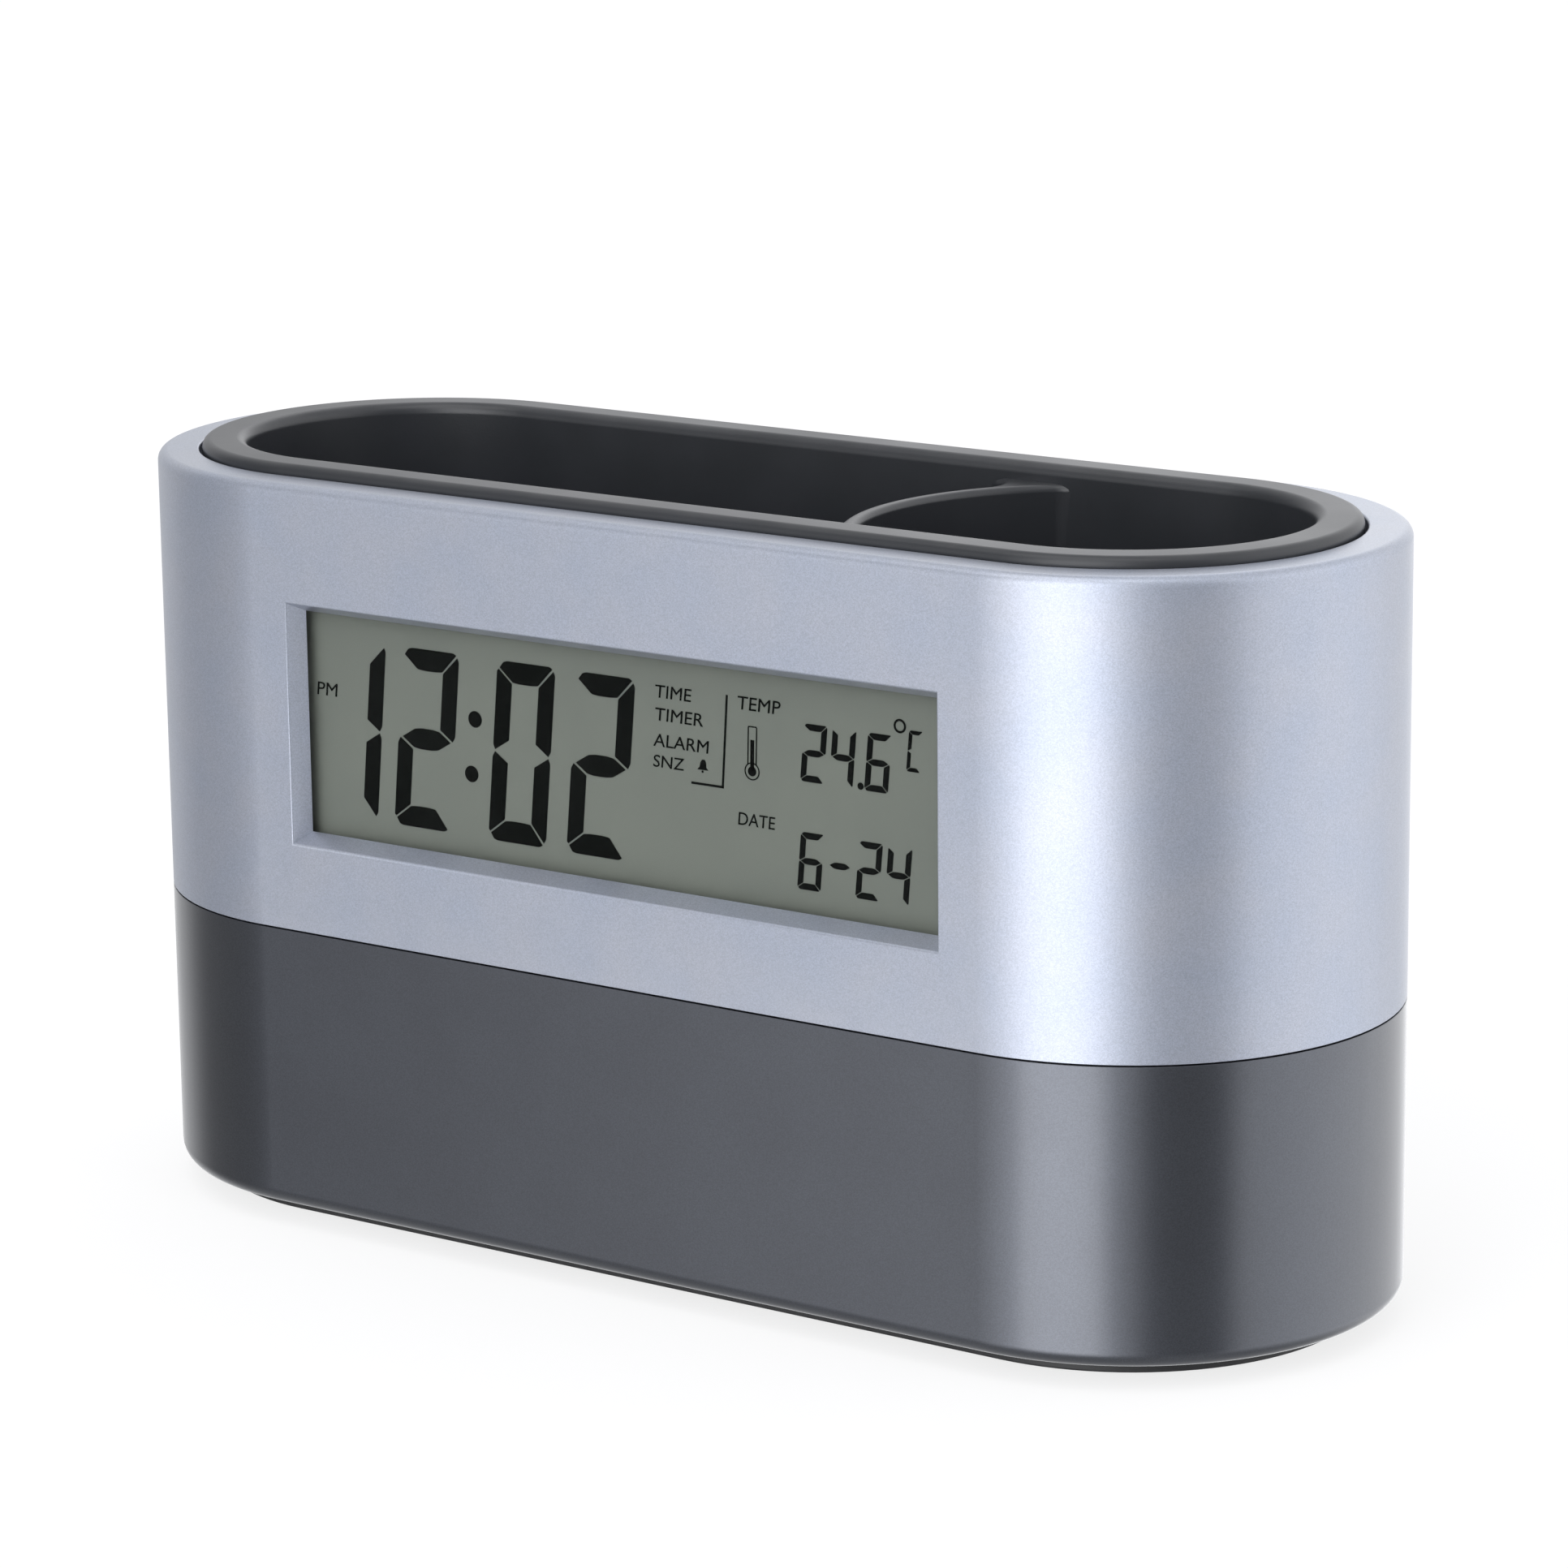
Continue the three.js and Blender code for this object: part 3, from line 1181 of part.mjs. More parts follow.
add('battery_tray', batteryTray(), 'blackPlastic');
[-EAR_X, EAR_X].forEach((x, i) => add(`tray_screw_${i + 1}`, trayScrew(x), 'steel'));
add('battery_door', batteryDoor(), 'greyPaint');
add('cell_lower', cell(CELL_LOW_Z, -1), 'cellJacket');
add('cell_upper', cell(CELL_HIGH_Z, 1), 'cellJacket');
add('contact_spring_lower', contactSpring(CELL_LOW_Z, 1), 'steel');
add('contact_spring_upper', contactSpring(CELL_HIGH_Z, -1), 'steel');
add('contact_plate', contactPlate(-1, CELL_LOW_Z, CELL_LOW_Z), 'steel');
add('bridge_contact', contactPlate(1, CELL_LOW_Z, CELL_HIGH_Z), 'steel');
add('buzzer_disc', buzzerDisc(), 'brass');
add('battery_lead_red', batteryLead(CELL_LOW_Z - 1, LEAD_LANE, LEAD_CROSSING), 'redWire');
add(
    'battery_lead_black',
    batteryLead(
        Math.min(CELL_HIGH_Z, FLOOR_BOTTOM - LEAD_SPACING) + 2,
        LEAD_LANE - LEAD_SPACING,
        LEAD_CROSSING + 2 * LEAD_SPACING,
    ),
    'blackWire',
);

export default clock;
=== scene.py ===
"""Looks of a pen holder clock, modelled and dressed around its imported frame.

Sizes in the classes are millimetres and meshes are metres. X runs along the
case, the display faces -Y and the table is z = 0.
"""

import json
import logging
import math
from contextlib import contextmanager
from dataclasses import dataclass
from enum import Enum
from typing import Callable, Iterator, Sequence

import bmesh
import bpy
from mathutils import Matrix, Vector


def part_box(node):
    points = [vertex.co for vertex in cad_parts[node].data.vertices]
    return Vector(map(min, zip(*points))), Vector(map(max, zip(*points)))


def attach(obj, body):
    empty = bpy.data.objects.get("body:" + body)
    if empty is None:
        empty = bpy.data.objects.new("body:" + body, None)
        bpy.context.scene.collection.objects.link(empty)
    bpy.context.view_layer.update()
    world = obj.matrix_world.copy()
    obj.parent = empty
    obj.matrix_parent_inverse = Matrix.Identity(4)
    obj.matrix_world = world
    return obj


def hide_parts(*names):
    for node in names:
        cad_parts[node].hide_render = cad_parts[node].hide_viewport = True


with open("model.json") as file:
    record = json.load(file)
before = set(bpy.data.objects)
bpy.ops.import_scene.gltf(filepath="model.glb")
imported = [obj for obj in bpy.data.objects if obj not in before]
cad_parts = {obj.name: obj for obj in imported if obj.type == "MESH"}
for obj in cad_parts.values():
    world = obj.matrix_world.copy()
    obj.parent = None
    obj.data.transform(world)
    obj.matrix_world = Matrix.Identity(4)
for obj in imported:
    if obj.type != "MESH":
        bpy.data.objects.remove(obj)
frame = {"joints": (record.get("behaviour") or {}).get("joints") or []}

Piece = bpy.types.Object
Material = bpy.types.Material
Group = bpy.types.NodeTree
Node = bpy.types.Node
Socket = bpy.types.NodeSocket
Pair = tuple[float, float]
Corner = tuple[float, float, float]
Color = Corner
Row = tuple[tuple[str, float], ...]
Test = Callable[[Vector], bool]

LOG = logging.getLogger("clock")
MM = 0.001
WELD = 1e-6
ON_PLANE = 2e-5
SMOOTH_ANGLE = 32.0
BUMP_DEPTH = 0.05
WHITE = (1.0, 1.0, 1.0, 1.0)
DUST_COLOR = (0.55, 0.54, 0.52, 1.0)
CORNERS = ("front_left", "front_right", "rear_left", "rear_right")


class Body(Enum):
    """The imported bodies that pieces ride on."""

    CASE = "case"
    SNOOZE = "snooze_key"
    DOWN = "down_key"
    UP = "up_key"
    SET = "set_key"
    MODE = "mode_key"
    DOOR = "door"


class Slot(Enum):
    """The record's material slots."""

    SILVER = "silver_paint"
    GREY = "grey_paint"
    DARK = "dark_plastic"
    BLACK = "black_plastic"
    RUBBER = "rubber"
    STEEL = "steel"
    CLEAR = "clear_plastic"
    GLASS = "display_glass"
    REFLECTOR = "reflector"
    ZEBRA = "zebra_rubber"
    BOARD = "board_green"
    EPOXY = "epoxy"
    CERAMIC = "ceramic"
    BRASS = "brass"
    CELL = "cell_jacket"
    RED = "wire_red"
    WIRE = "wire_black"
    RIBBON = "ribbon_grey"


class Axis(Enum):
    """A direction that a turned or extruded piece lies along."""

    X = 0
    Y = 1
    Z = 2


class Take(Enum):
    """What a boolean does with its tools."""

    AWAY = "DIFFERENCE"
    IN = "UNION"


def deselect() -> None:
    """Leave nothing selected."""
    bpy.ops.object.select_all(action="DESELECT")


def activate(piece: Piece) -> None:
    """Select one piece alone and make it the active one."""
    deselect()
    piece.select_set(True)
    bpy.context.view_layer.objects.active = piece


def named(name: str) -> Piece:
    """Name the active object and its data, and return it."""
    piece = bpy.context.active_object
    piece.name = name
    piece.data.name = name
    return piece


@contextmanager
def editing(piece: Piece, mode: str = "VERT", whole: bool = False) -> Iterator[None]:
    """Open a piece in edit mode, and close it again.

    Args:
        piece: the mesh object to edit.
        mode: what is selected, VERT, EDGE or FACE.
        whole: whether all of it is selected at first, or nothing.
    """
    activate(piece)
    bpy.ops.object.mode_set(mode="EDIT")
    bpy.ops.mesh.select_mode(type=mode)
    bpy.ops.mesh.select_all(action="SELECT" if whole else "DESELECT")
    yield
    bpy.ops.object.mode_set(mode="OBJECT")


def choose(piece: Piece, test: Test, whole: str = "VERT") -> int:
    """Select what lies where a test says, in edit mode.

    Args:
        piece: the piece in edit mode.
        test: says of a point in metres whether it belongs.
        whole: VERT picks points, EDGE and FACE need all their points to belong.

    Returns:
        How many were selected.
    """
    mesh = bmesh.from_edit_mesh(piece.data)
    parts = {"VERT": mesh.verts, "EDGE": mesh.edges, "FACE": mesh.faces}[whole]
    count = 0
    for part in parts:
        points = [part] if whole == "VERT" else part.verts
        if all(test(point.co) for point in points):
            part.select_set(True)
            count += 1
    bmesh.update_edit_mesh(piece.data)
    return count


def tidy_shell(piece: Piece) -> None:
    """Merge doubled points and turn all faces outwards."""
    with editing(piece, whole=True):
        bpy.ops.mesh.remove_doubles(threshold=WELD)
        bpy.ops.mesh.normals_make_consistent(inside=False)


class Line:
    """A flat line of straight steps and arcs, in millimetres."""

    def __init__(self, x: float, y: float) -> None:
        """Start the line at a point."""
        self.points: list[Pair] = [(x, y)]

    def to(self, x: float, y: float) -> "Line":
        """Go straight to a point."""
        self.points.append((x, y))
        return self

    @classmethod
    def through(cls, points: list[Pair]) -> "Line":
        """Go straight from point to point."""
        line = cls(*points[0])
        line.points.extend(points[1:])
        return line

    def arc(self, x: float, y: float, radius: float, start: float, end: float, steps: int = 6) -> "Line":
        """Go round a centre.

        Args:
            x: centre, first coordinate.
            y: centre, second coordinate.
            radius: radius of the arc.
            start: angle where it starts, in degrees.
            end: angle where it ends, in degrees.
            steps: straight steps along it.

        Returns:
            The line itself.
        """
        for i in range(steps + 1):
            turn = math.radians(start + (end - start) * i / steps)
            self.points.append((x + radius * math.cos(turn), y + radius * math.sin(turn)))
        return self


def spread(axis: Axis, along: float, first: float, second: float) -> Vector:
    """A point in metres from its place along an axis and its other two coordinates in X, Y, Z order."""
    values = {
        Axis.X: (along, first, second),
        Axis.Y: (first, along, second),
        Axis.Z: (first, second, along),
    }[axis]
    return Vector(values) * MM


def draw(name: str, points: list[Vector], closed: bool = False) -> Piece:
    """Draw a wire by extruding one vertex from point to point.

    Args:
        name: the piece's name.
        points: stops of the wire, in metres.
        closed: whether it comes back to its start.

    Returns:
        The new piece, in object mode.
    """
    stops = [points[0]]
    for point in points[1:]:
        if (point - stops[-1]).length > WELD:
            stops.append(point)
    if closed and (stops[0] - stops[-1]).length <= WELD:
        stops.pop()
    deselect()
    bpy.ops.mesh.primitive_plane_add(size=MM, location=stops[0])
    piece = named(name)
    bpy.ops.object.transform_apply(location=True, rotation=False, scale=False)
    with editing(piece, whole=True):
        bpy.ops.mesh.merge(type="CENTER")
        here = stops[0]
        for there in stops[1:] + (stops[:1] if closed else []):
            bpy.ops.mesh.extrude_region_move(TRANSFORM_OT_translate={"value": there - here})
            here = there
        bpy.ops.mesh.select_all(action="SELECT")
        bpy.ops.mesh.remove_doubles(threshold=WELD)
    return piece


def lathe(name: str, axis: Axis, centre: Pair, profile: Line, steps: int = 48) -> Piece:
    """Turn a profile round an axis.

    Args:
        name: the piece's name.
        axis: direction of the axis.
        centre: the axis's other two coordinates, in X, Y, Z order.
        profile: (radius, place along the axis) points that start and end on the axis.
        steps: facets round the piece.

    Returns:
        The closed solid.
    """
    first, second = centre
    points = [spread(axis, along, first + radius, second) for radius, along in profile.points]
    piece = draw(name, points)
    direction = spread(axis, 1, 0, 0).normalized()
    with editing(piece, whole=True):
        middle = spread(axis, 0, first, second)
        bpy.ops.mesh.spin(steps=steps, angle=2 * math.pi, center=middle, axis=direction)
    tidy_shell(piece)
    return piece


def block(name: str, low: Corner, high: Corner, edge: float = 0.0, segments: int = 2) -> Piece:
    """A box between two corners, with its edges rounded.

    Args:
        name: the piece's name.
        low: its lowest corner, in millimetres.
        high: its highest corner.
        edge: radius of the rounded edges, 0 for sharp ones.
        segments: steps in the rounding.

    Returns:
        The closed box.
    """
    deselect()
    middle = (Vector(low) + Vector(high)) / 2 * MM
    bpy.ops.mesh.primitive_cube_add(size=1, location=middle)
    piece = named(name)
    piece.scale = (Vector(high) - Vector(low)) * MM
    bpy.ops.object.transform_apply(location=True, rotation=False, scale=True)
    if edge:
        with editing(piece, "EDGE", True):
            bpy.ops.mesh.bevel(offset=edge * MM, segments=segments, affect="EDGES")
    return piece


def prism(
    name: str,
    axis: Axis,
    outline: Line,
    start: float,
    end: float,
    round_end: float = 0.0,
    segments: int = 3,
) -> Piece:
    """Extrude a closed outline along an axis.

    Args:
        name: the piece's name.
        axis: direction of the extrusion.
        outline: the outline, in the other two coordinates in X, Y, Z order.
        start: where the extrusion starts.
        end: where it ends.
        round_end: radius of the edge round the end face.
        segments: steps in that rounding.

    Returns:
        The closed solid.
    """
    piece = draw(name, [spread(axis, start, a, b) for a, b in outline.points], closed=True)
    with editing(piece, whole=True):
        bpy.ops.mesh.edge_face_add()
        along = spread(axis, end - start, 0, 0)
        bpy.ops.mesh.extrude_region_move(TRANSFORM_OT_translate={"value": along})
    if round_end:
        level = end * MM
        with editing(piece, "EDGE"):
            choose(piece, lambda p: abs(p[axis.value] - level) < ON_PLANE, "EDGE")
            bpy.ops.mesh.bevel(offset=round_end * MM, segments=segments, affect="EDGES")
    tidy_shell(piece)
    return piece


def pill(x: float, z: float, length: float, height: float, steps: int = 16) -> Line:
    """The outline of a pill that lies along the first coordinate.

    Args:
        x: its middle, first coordinate.
        z: its middle, second coordinate.
        length: from end to end.
        height: across, and twice the radius of its ends.
        steps: straight steps round each end.

    Returns:
        The outline.
    """
    radius = height / 2
    reach = length / 2 - radius
    line = Line(x - reach, z - radius).to(x + reach, z - radius)
    return line.arc(x + reach, z, radius, -90, 90, steps).arc(x - reach, z, radius, 90, 270, steps)


def disc(x: float, y: float, radius: float, steps: int = 32) -> Line:
    """The outline of a circle."""
    return Line(x + radius, y).arc(x, y, radius, 0, 360, steps)


def rod(axis: Axis, centre: Pair, radius: float, start: float, end: float, steps: int = 32) -> Piece:
    """A plain bar along an axis, as a cutting tool or a boss."""
    return prism("rod", axis, disc(*centre, radius, steps), start, end)


def join(name: str, *pieces: Piece) -> Piece:
    """Join pieces that don't touch, or only rest in each other, into one."""
    deselect()
    for piece in pieces:
        piece.select_set(True)
    bpy.context.view_layer.objects.active = pieces[0]
    if len(pieces) > 1:
        bpy.ops.object.join()
    return named(name)


def combine(piece: Piece, take: Take, *tools: Piece) -> None:
    """Run one boolean a tool on a piece and remove the tools."""
    for tool in tools:
        activate(piece)
        bpy.ops.object.modifier_add(type="BOOLEAN")
        modifier = piece.modifiers[-1]
        modifier.operation = take.value
        modifier.solver = "EXACT"
        modifier.object = tool
        bpy.ops.object.modifier_apply(modifier=modifier.name)
        bpy.data.objects.remove(tool)
    tidy_shell(piece)


def cut(piece: Piece, *tools: Piece) -> None:
    """Take tools out of a piece."""
    combine(piece, Take.AWAY, *tools)


def add(piece: Piece, *tools: Piece) -> None:
    """Melt other solids into a piece."""
    combine(piece, Take.IN, *tools)


def round_edges(piece: Piece, test: Test, width: float, segments: int = 2) -> None:
    """Round the edges whose two ends lie where a test says."""
    with editing(piece, "EDGE"):
        if choose(piece, test, "EDGE"):
            bpy.ops.mesh.bevel(offset=width * MM, segments=segments, affect="EDGES", clamp_overlap=True)


def on_face(y: float, x: float, z: float, length: float, height: float) -> Test:
    """A test for points inside a rectangle of an upright face.

    Args:
        y: the face's place.
        x: the rectangle's middle.
        z: the rectangle's middle.
        length: the rectangle's length along X.
        height: the rectangle's height.

    Returns:
        The test, for points in metres.
    """
    reach = (length / 2 * MM, 0.0, height / 2 * MM)

    def inside(point: Vector) -> bool:
        """Whether a point lies in the rectangle or on its outline."""
        off = point - Vector((x, y, z)) * MM
        return all(abs(off[i]) < reach[i] + ON_PLANE for i in range(3))

    return inside


def sink(piece: Piece, y: float, width: float, depth: float) -> None:
    """Sink the faces at one Y inside a rim of some width."""
    with editing(piece, "FACE"):
        choose(piece, lambda p: abs(p.y - y * MM) < ON_PLANE, "FACE")
        bpy.ops.mesh.inset(thickness=width * MM, depth=-depth * MM)


def trim(piece: Piece, place: Vector, outward: Vector) -> None:
    """Cut away what lies beyond a plane, and close the cut."""
    with editing(piece, whole=True):
        bpy.ops.mesh.bisect(plane_co=place, plane_no=outward, use_fill=True, clear_outer=True)
    tidy_shell(piece)


def wire(name: str, points: list[Corner], radius: float) -> Piece:
    """A round wire along points in millimetres, with closed ends.

    Args:
        name: the piece's name.
        points: stops of its centreline.
        radius: radius of the wire.

    Returns:
        The wire as a mesh.
    """
    deselect()
    bpy.ops.curve.primitive_nurbs_path_add()
    piece = named(name)
    bpy.ops.object.transform_apply(location=True, rotation=True, scale=True)
    curve = piece.data
    curve.splines.clear()
    spline = curve.splines.new("POLY")
    spline.points.add(len(points) - 1)
    for stop, point in zip(spline.points, points):
        stop.co = (*(Vector(point) * MM), 1)
    curve.bevel_depth = radius * MM
    curve.bevel_resolution = 3
    curve.use_fill_caps = True
    bpy.ops.object.convert(target="MESH")
    piece = named(name)
    tidy_shell(piece)
    return piece


class Tree:
    """Adds nodes to one shader tree and links them."""

    def __init__(self, tree: Group) -> None:
        """Work in an empty tree."""
        self.tree = tree
        self.column = 0

    @classmethod
    def of(cls, owner: Material | bpy.types.World) -> "Tree":
        """Empty the nodes of a material or a world, to build them anew."""
        owner.use_nodes = True
        owner.node_tree.nodes.clear()
        return cls(owner.node_tree)

    def add(self, kind: str, **inputs: object) -> Node:
        """Add a node, with values or sockets for its inputs.

        Args:
            kind: the node's type name.
            inputs: input names with spaces as underscores. A socket is linked, a value is set.

        Returns:
            The node.
        """
        node = self.tree.nodes.new(kind)
        node.location = (self.column * 180, 0)
        self.column += 1
        for name, value in inputs.items():
            self.feed(node, name.replace("_", " "), value)
        return node

    def feed(self, node: Node, name: str | int, value: object) -> None:
        """Set one input of a node, or link a socket to it."""
        socket = node.inputs[name]
        if isinstance(value, Socket):
            self.tree.links.new(value, socket)
        else:
            socket.default_value = value

    def numbered(self, kind: str, inputs: dict[int, object], **settings: str) -> Node:
        """Add a node whose inputs go by number.

        Args:
            kind: the node's type name.
            inputs: values or sockets by the input's number.
            settings: the node's own settings, such as its operation.

        Returns:
            The node.
        """
        node = self.add(kind)
        for name, value in settings.items():
            setattr(node, name, value)
        for number, value in inputs.items():
            self.feed(node, number, value)
        return node

    def math(self, operation: str, first: object, second: object = 0.0) -> Socket:
        """A calculation on one or two numbers, each a socket or a value."""
        return self.numbered("ShaderNodeMath", {0: first, 1: second}, operation=operation).outputs[0]

    def mix_level(self, share: object, first: object, second: float) -> Socket:
        """Go from one number to another by a share."""
        return self.numbered("ShaderNodeMix", {0: share, 2: first, 3: second}, data_type="FLOAT").outputs[0]

    def mix_shader(self, share: object, first: Socket, second: Socket) -> Socket:
        """Go from one shader to another by a share."""
        return self.numbered("ShaderNodeMixShader", {0: share, 1: first, 2: second}).outputs[0]

    def ramp(self, value: object, low: float, high: float, start: float = 0.0, end: float = 1.0) -> Socket:
        """Bring a value from one range into another, kept inside it.

        Args:
            value: the socket to read.
            low: value that gives the new range's start.
            high: value that gives its end.
            start: start of the new range.
            end: end of the new range.

        Returns:
            The result's socket.
        """
        limits = {"From_Min": low, "From_Max": high, "To_Min": start, "To_Max": end}
        return self.add("ShaderNodeMapRange", Value=value, **limits).outputs["Result"]

    def blend(self, factor: object, first: object, second: object, mode: str = "MIX") -> Socket:
        """Mix two colours by a mask.

        Args:
            factor: the mask, 0 for the first colour and 1 for the second.
            first: a socket or a colour.
            second: a socket or a colour.
            mode: how the Mix node joins them.

        Returns:
            The colour's socket.
        """
        inputs = {0: factor, 6: first, 7: second}
        return self.numbered("ShaderNodeMix", inputs, data_type="RGBA", blend_type=mode).outputs[2]

    def place(self) -> Socket:
        """Where on the piece the surface lies, in metres."""
        return self.add("ShaderNodeTexCoord").outputs["Object"]

    def part(self, vector: Socket, axis: str) -> Socket:
        """One coordinate of a vector."""
        return self.add("ShaderNodeSeparateXYZ", Vector=vector).outputs[axis]

    def noise(self, place: object, scale: float, detail: float = 3.0, rough: float = 0.5) -> Socket:
        """Cloudy noise at a place."""
        node = self.add("ShaderNodeTexNoise", Vector=place, Scale=scale, Detail=detail, Roughness=rough)
        return node.outputs["Fac"]


def effect(name: str, outputs: tuple[str, ...], **inputs: float) -> tuple[Tree, Node, Node]:
    """Start a shader node group with named sockets for numbers.

    Args:
        name: the group's name.
        outputs: output names.
        inputs: input names with their default numbers.

    Returns:
        A Tree in the new group, its input node and its output node.
    """
    group = bpy.data.node_groups.new(name, "ShaderNodeTree")
    for socket, value in inputs.items():
        made = group.interface.new_socket(socket, in_out="INPUT", socket_type="NodeSocketFloat")
        made.default_value = value
    for socket in outputs:
        group.interface.new_socket(socket, in_out="OUTPUT", socket_type="NodeSocketFloat")
    tree = Tree(group)
    return tree, tree.add("NodeGroupInput"), tree.add("NodeGroupOutput")


def grain_effect() -> Group:
    """Fine moulded or sprayed grain: a height for bump and a mask for roughness."""
    tree, given, out = effect("moulded_grain", ("Height", "Patches"), Scale=2500.0, Patchiness=0.3)
    place = tree.place()
    fine = tree.add("ShaderNodeTexNoise", Vector=place, Scale=given.outputs["Scale"], Detail=2.0)
    patches = tree.ramp(tree.noise(place, 35.0), 0.3, 0.7, -0.5, 0.5)
    tree.feed(out, "Height", fine.outputs["Fac"])
    tree.feed(out, "Patches", tree.math("MULTIPLY", patches, given.outputs["Patchiness"]))
    return tree.tree


def wear_effect() -> Group:
    """Rubbed edges: a mask where the surface turns sharply outwards."""
    tree, given, out = effect("edge_wear", ("Mask",), Reach=0.5, Strength=0.5)
    broken = tree.ramp(tree.noise(tree.place(), 220.0, 4.0, 0.6), 0.35, 0.7)
    sharp = tree.ramp(tree.add("ShaderNodeNewGeometry").outputs["Pointiness"], 0.52, 0.6)
    reach = tree.math("MULTIPLY", sharp, given.outputs["Reach"])
    rubbed = tree.math("MULTIPLY", tree.math("ADD", reach, broken), sharp)
    tree.feed(out, "Mask", tree.math("MULTIPLY", rubbed, given.outputs["Strength"]))
    return tree.tree


def dust_effect() -> Group:
    """Fine dust that settles on what faces up."""
    tree, given, out = effect("settled_dust", ("Mask",), Amount=0.1)
    facing = tree.part(tree.add("ShaderNodeNewGeometry").outputs["Normal"], "Z")
    clouds = tree.ramp(tree.noise(tree.place(), 60.0, 6.0, 0.65), 0.4, 0.75)
    covered = tree.math("MULTIPLY", tree.ramp(facing, 0.4, 1.0), clouds)
    tree.feed(out, "Mask", tree.math("MULTIPLY", covered, given.outputs["Amount"]))
    return tree.tree


class Effects:
    """The shared shader groups, each made once."""

    def __init__(self) -> None:
        """Make every group."""
        self.grain = grain_effect()
        self.wear = wear_effect()
        self.dust = dust_effect()

    @staticmethod
    def place(tree: Tree, group: Group, **values: float) -> Node:
        """Put a group into a material with its own values."""
        node = tree.add("ShaderNodeGroup")
        node.node_tree = group
        for name, value in values.items():
            node.inputs[name].default_value = value
        return node


@dataclass(frozen=True)
class Finish:
    """A moulded, painted or plated surface.

    The numbers are those of its shader; colours are linear.
    """

    slot: Slot
    color: Color
    shade: Color
    roughness: float
    metallic: float = 0.0
    grain: float = 2500.0
    bump: float = 0.1
    patchiness: float = 0.1
    worn: Color = (0.5, 0.5, 0.5)
    wear: float = 0.0
    dust: float = 0.05
    coat: float = 0.0
    coat_roughness: float = 0.1
    specular: float = 0.5

    def material(self, effects: Effects) -> Material:
        """Build the finish as a node material.

        Args:
            effects: the shared shader groups.

        Returns:
            The material, named after its slot.
        """
        made = bpy.data.materials.new(self.slot.value)
        tree = Tree.of(made)
        shader = tree.add(
            "ShaderNodeBsdfPrincipled",
            Metallic=self.metallic,
            IOR=1.5,
            Coat_Weight=self.coat,
            Coat_Roughness=self.coat_roughness,
            Specular_IOR_Level=self.specular,
        )
        self.dress(tree, shader, effects)
        tree.add("ShaderNodeOutputMaterial", Surface=shader.outputs["BSDF"])
        return made

    def dress(self, tree: Tree, shader: Node, effects: Effects) -> None:
        """Feed the shader's varying colour, roughness and normal.

        Args:
            tree: the material's tree.
            shader: its Principled shader.
            effects: the shared shader groups.
        """
        grain = effects.place(tree, effects.grain, Scale=self.grain, Patchiness=self.patchiness)
        wear = effects.place(tree, effects.wear, Reach=0.5, Strength=self.wear)
        dust = effects.place(tree, effects.dust, Amount=self.dust).outputs["Mask"]
        rubbed = tree.blend(wear.outputs["Mask"], self.pattern(tree), (*self.worn, 1.0))
        tree.feed(shader, "Base Color", tree.blend(dust, rubbed, DUST_COLOR))
        patches = tree.math("ADD", grain.outputs["Patches"], self.roughness)
        tree.feed(shader, "Roughness", tree.math("ADD", patches, tree.math("MULTIPLY", dust, 0.5)))
        height = grain.outputs["Height"]
        bump = tree.add("ShaderNodeBump", Height=height, Strength=self.bump, Distance=BUMP_DEPTH * MM)
        tree.feed(shader, "Normal", bump.outputs["Normal"])

    def pattern(self, tree: Tree) -> Socket:
        """The base colour before wear and dust: two close shades in soft patches."""
        clouds = tree.ramp(tree.noise(tree.place(), 90.0, 4.0), 0.35, 0.65)
        return tree.blend(clouds, (*self.color, 1.0), (*self.shade, 1.0))


@dataclass(frozen=True)
class FlakePaint(Finish):
    """Metallic paint: tiny flakes that differ in brightness."""

    flake: float = 9000.0
    sparkle: float = 0.12

    def pattern(self, tree: Tree) -> Socket:
        """Soft patches with flakes over them."""
        cells = tree.add("ShaderNodeTexVoronoi", Vector=tree.place(), Scale=self.flake)
        bright = tree.ramp(tree.part(cells.outputs["Color"], "X"), 0.0, 1.0)
        level = tree.ramp(bright, 0.0, 1.0, 1.0 - self.sparkle, 1.0 + self.sparkle)
        flakes = tree.add("ShaderNodeCombineXYZ", X=level, Y=level, Z=level)
        return tree.blend(1.0, super().pattern(tree), flakes.outputs["Vector"], "MULTIPLY")


@dataclass(frozen=True)
class BrushedMetal(Finish):
    """Rolled or drawn metal with fine lines along one axis."""

    lines: Corner = (60.0, 4000.0, 4000.0)

    def pattern(self, tree: Tree) -> Socket:
        """Fine lines between the two shades."""
        stretched = tree.add("ShaderNodeMapping", Vector=tree.place(), Scale=self.lines)
        strokes = tree.noise(stretched.outputs["Vector"], 1.0, 2.0)
        return tree.blend(tree.ramp(strokes, 0.3, 0.7), (*self.color, 1.0), (*self.shade, 1.0))


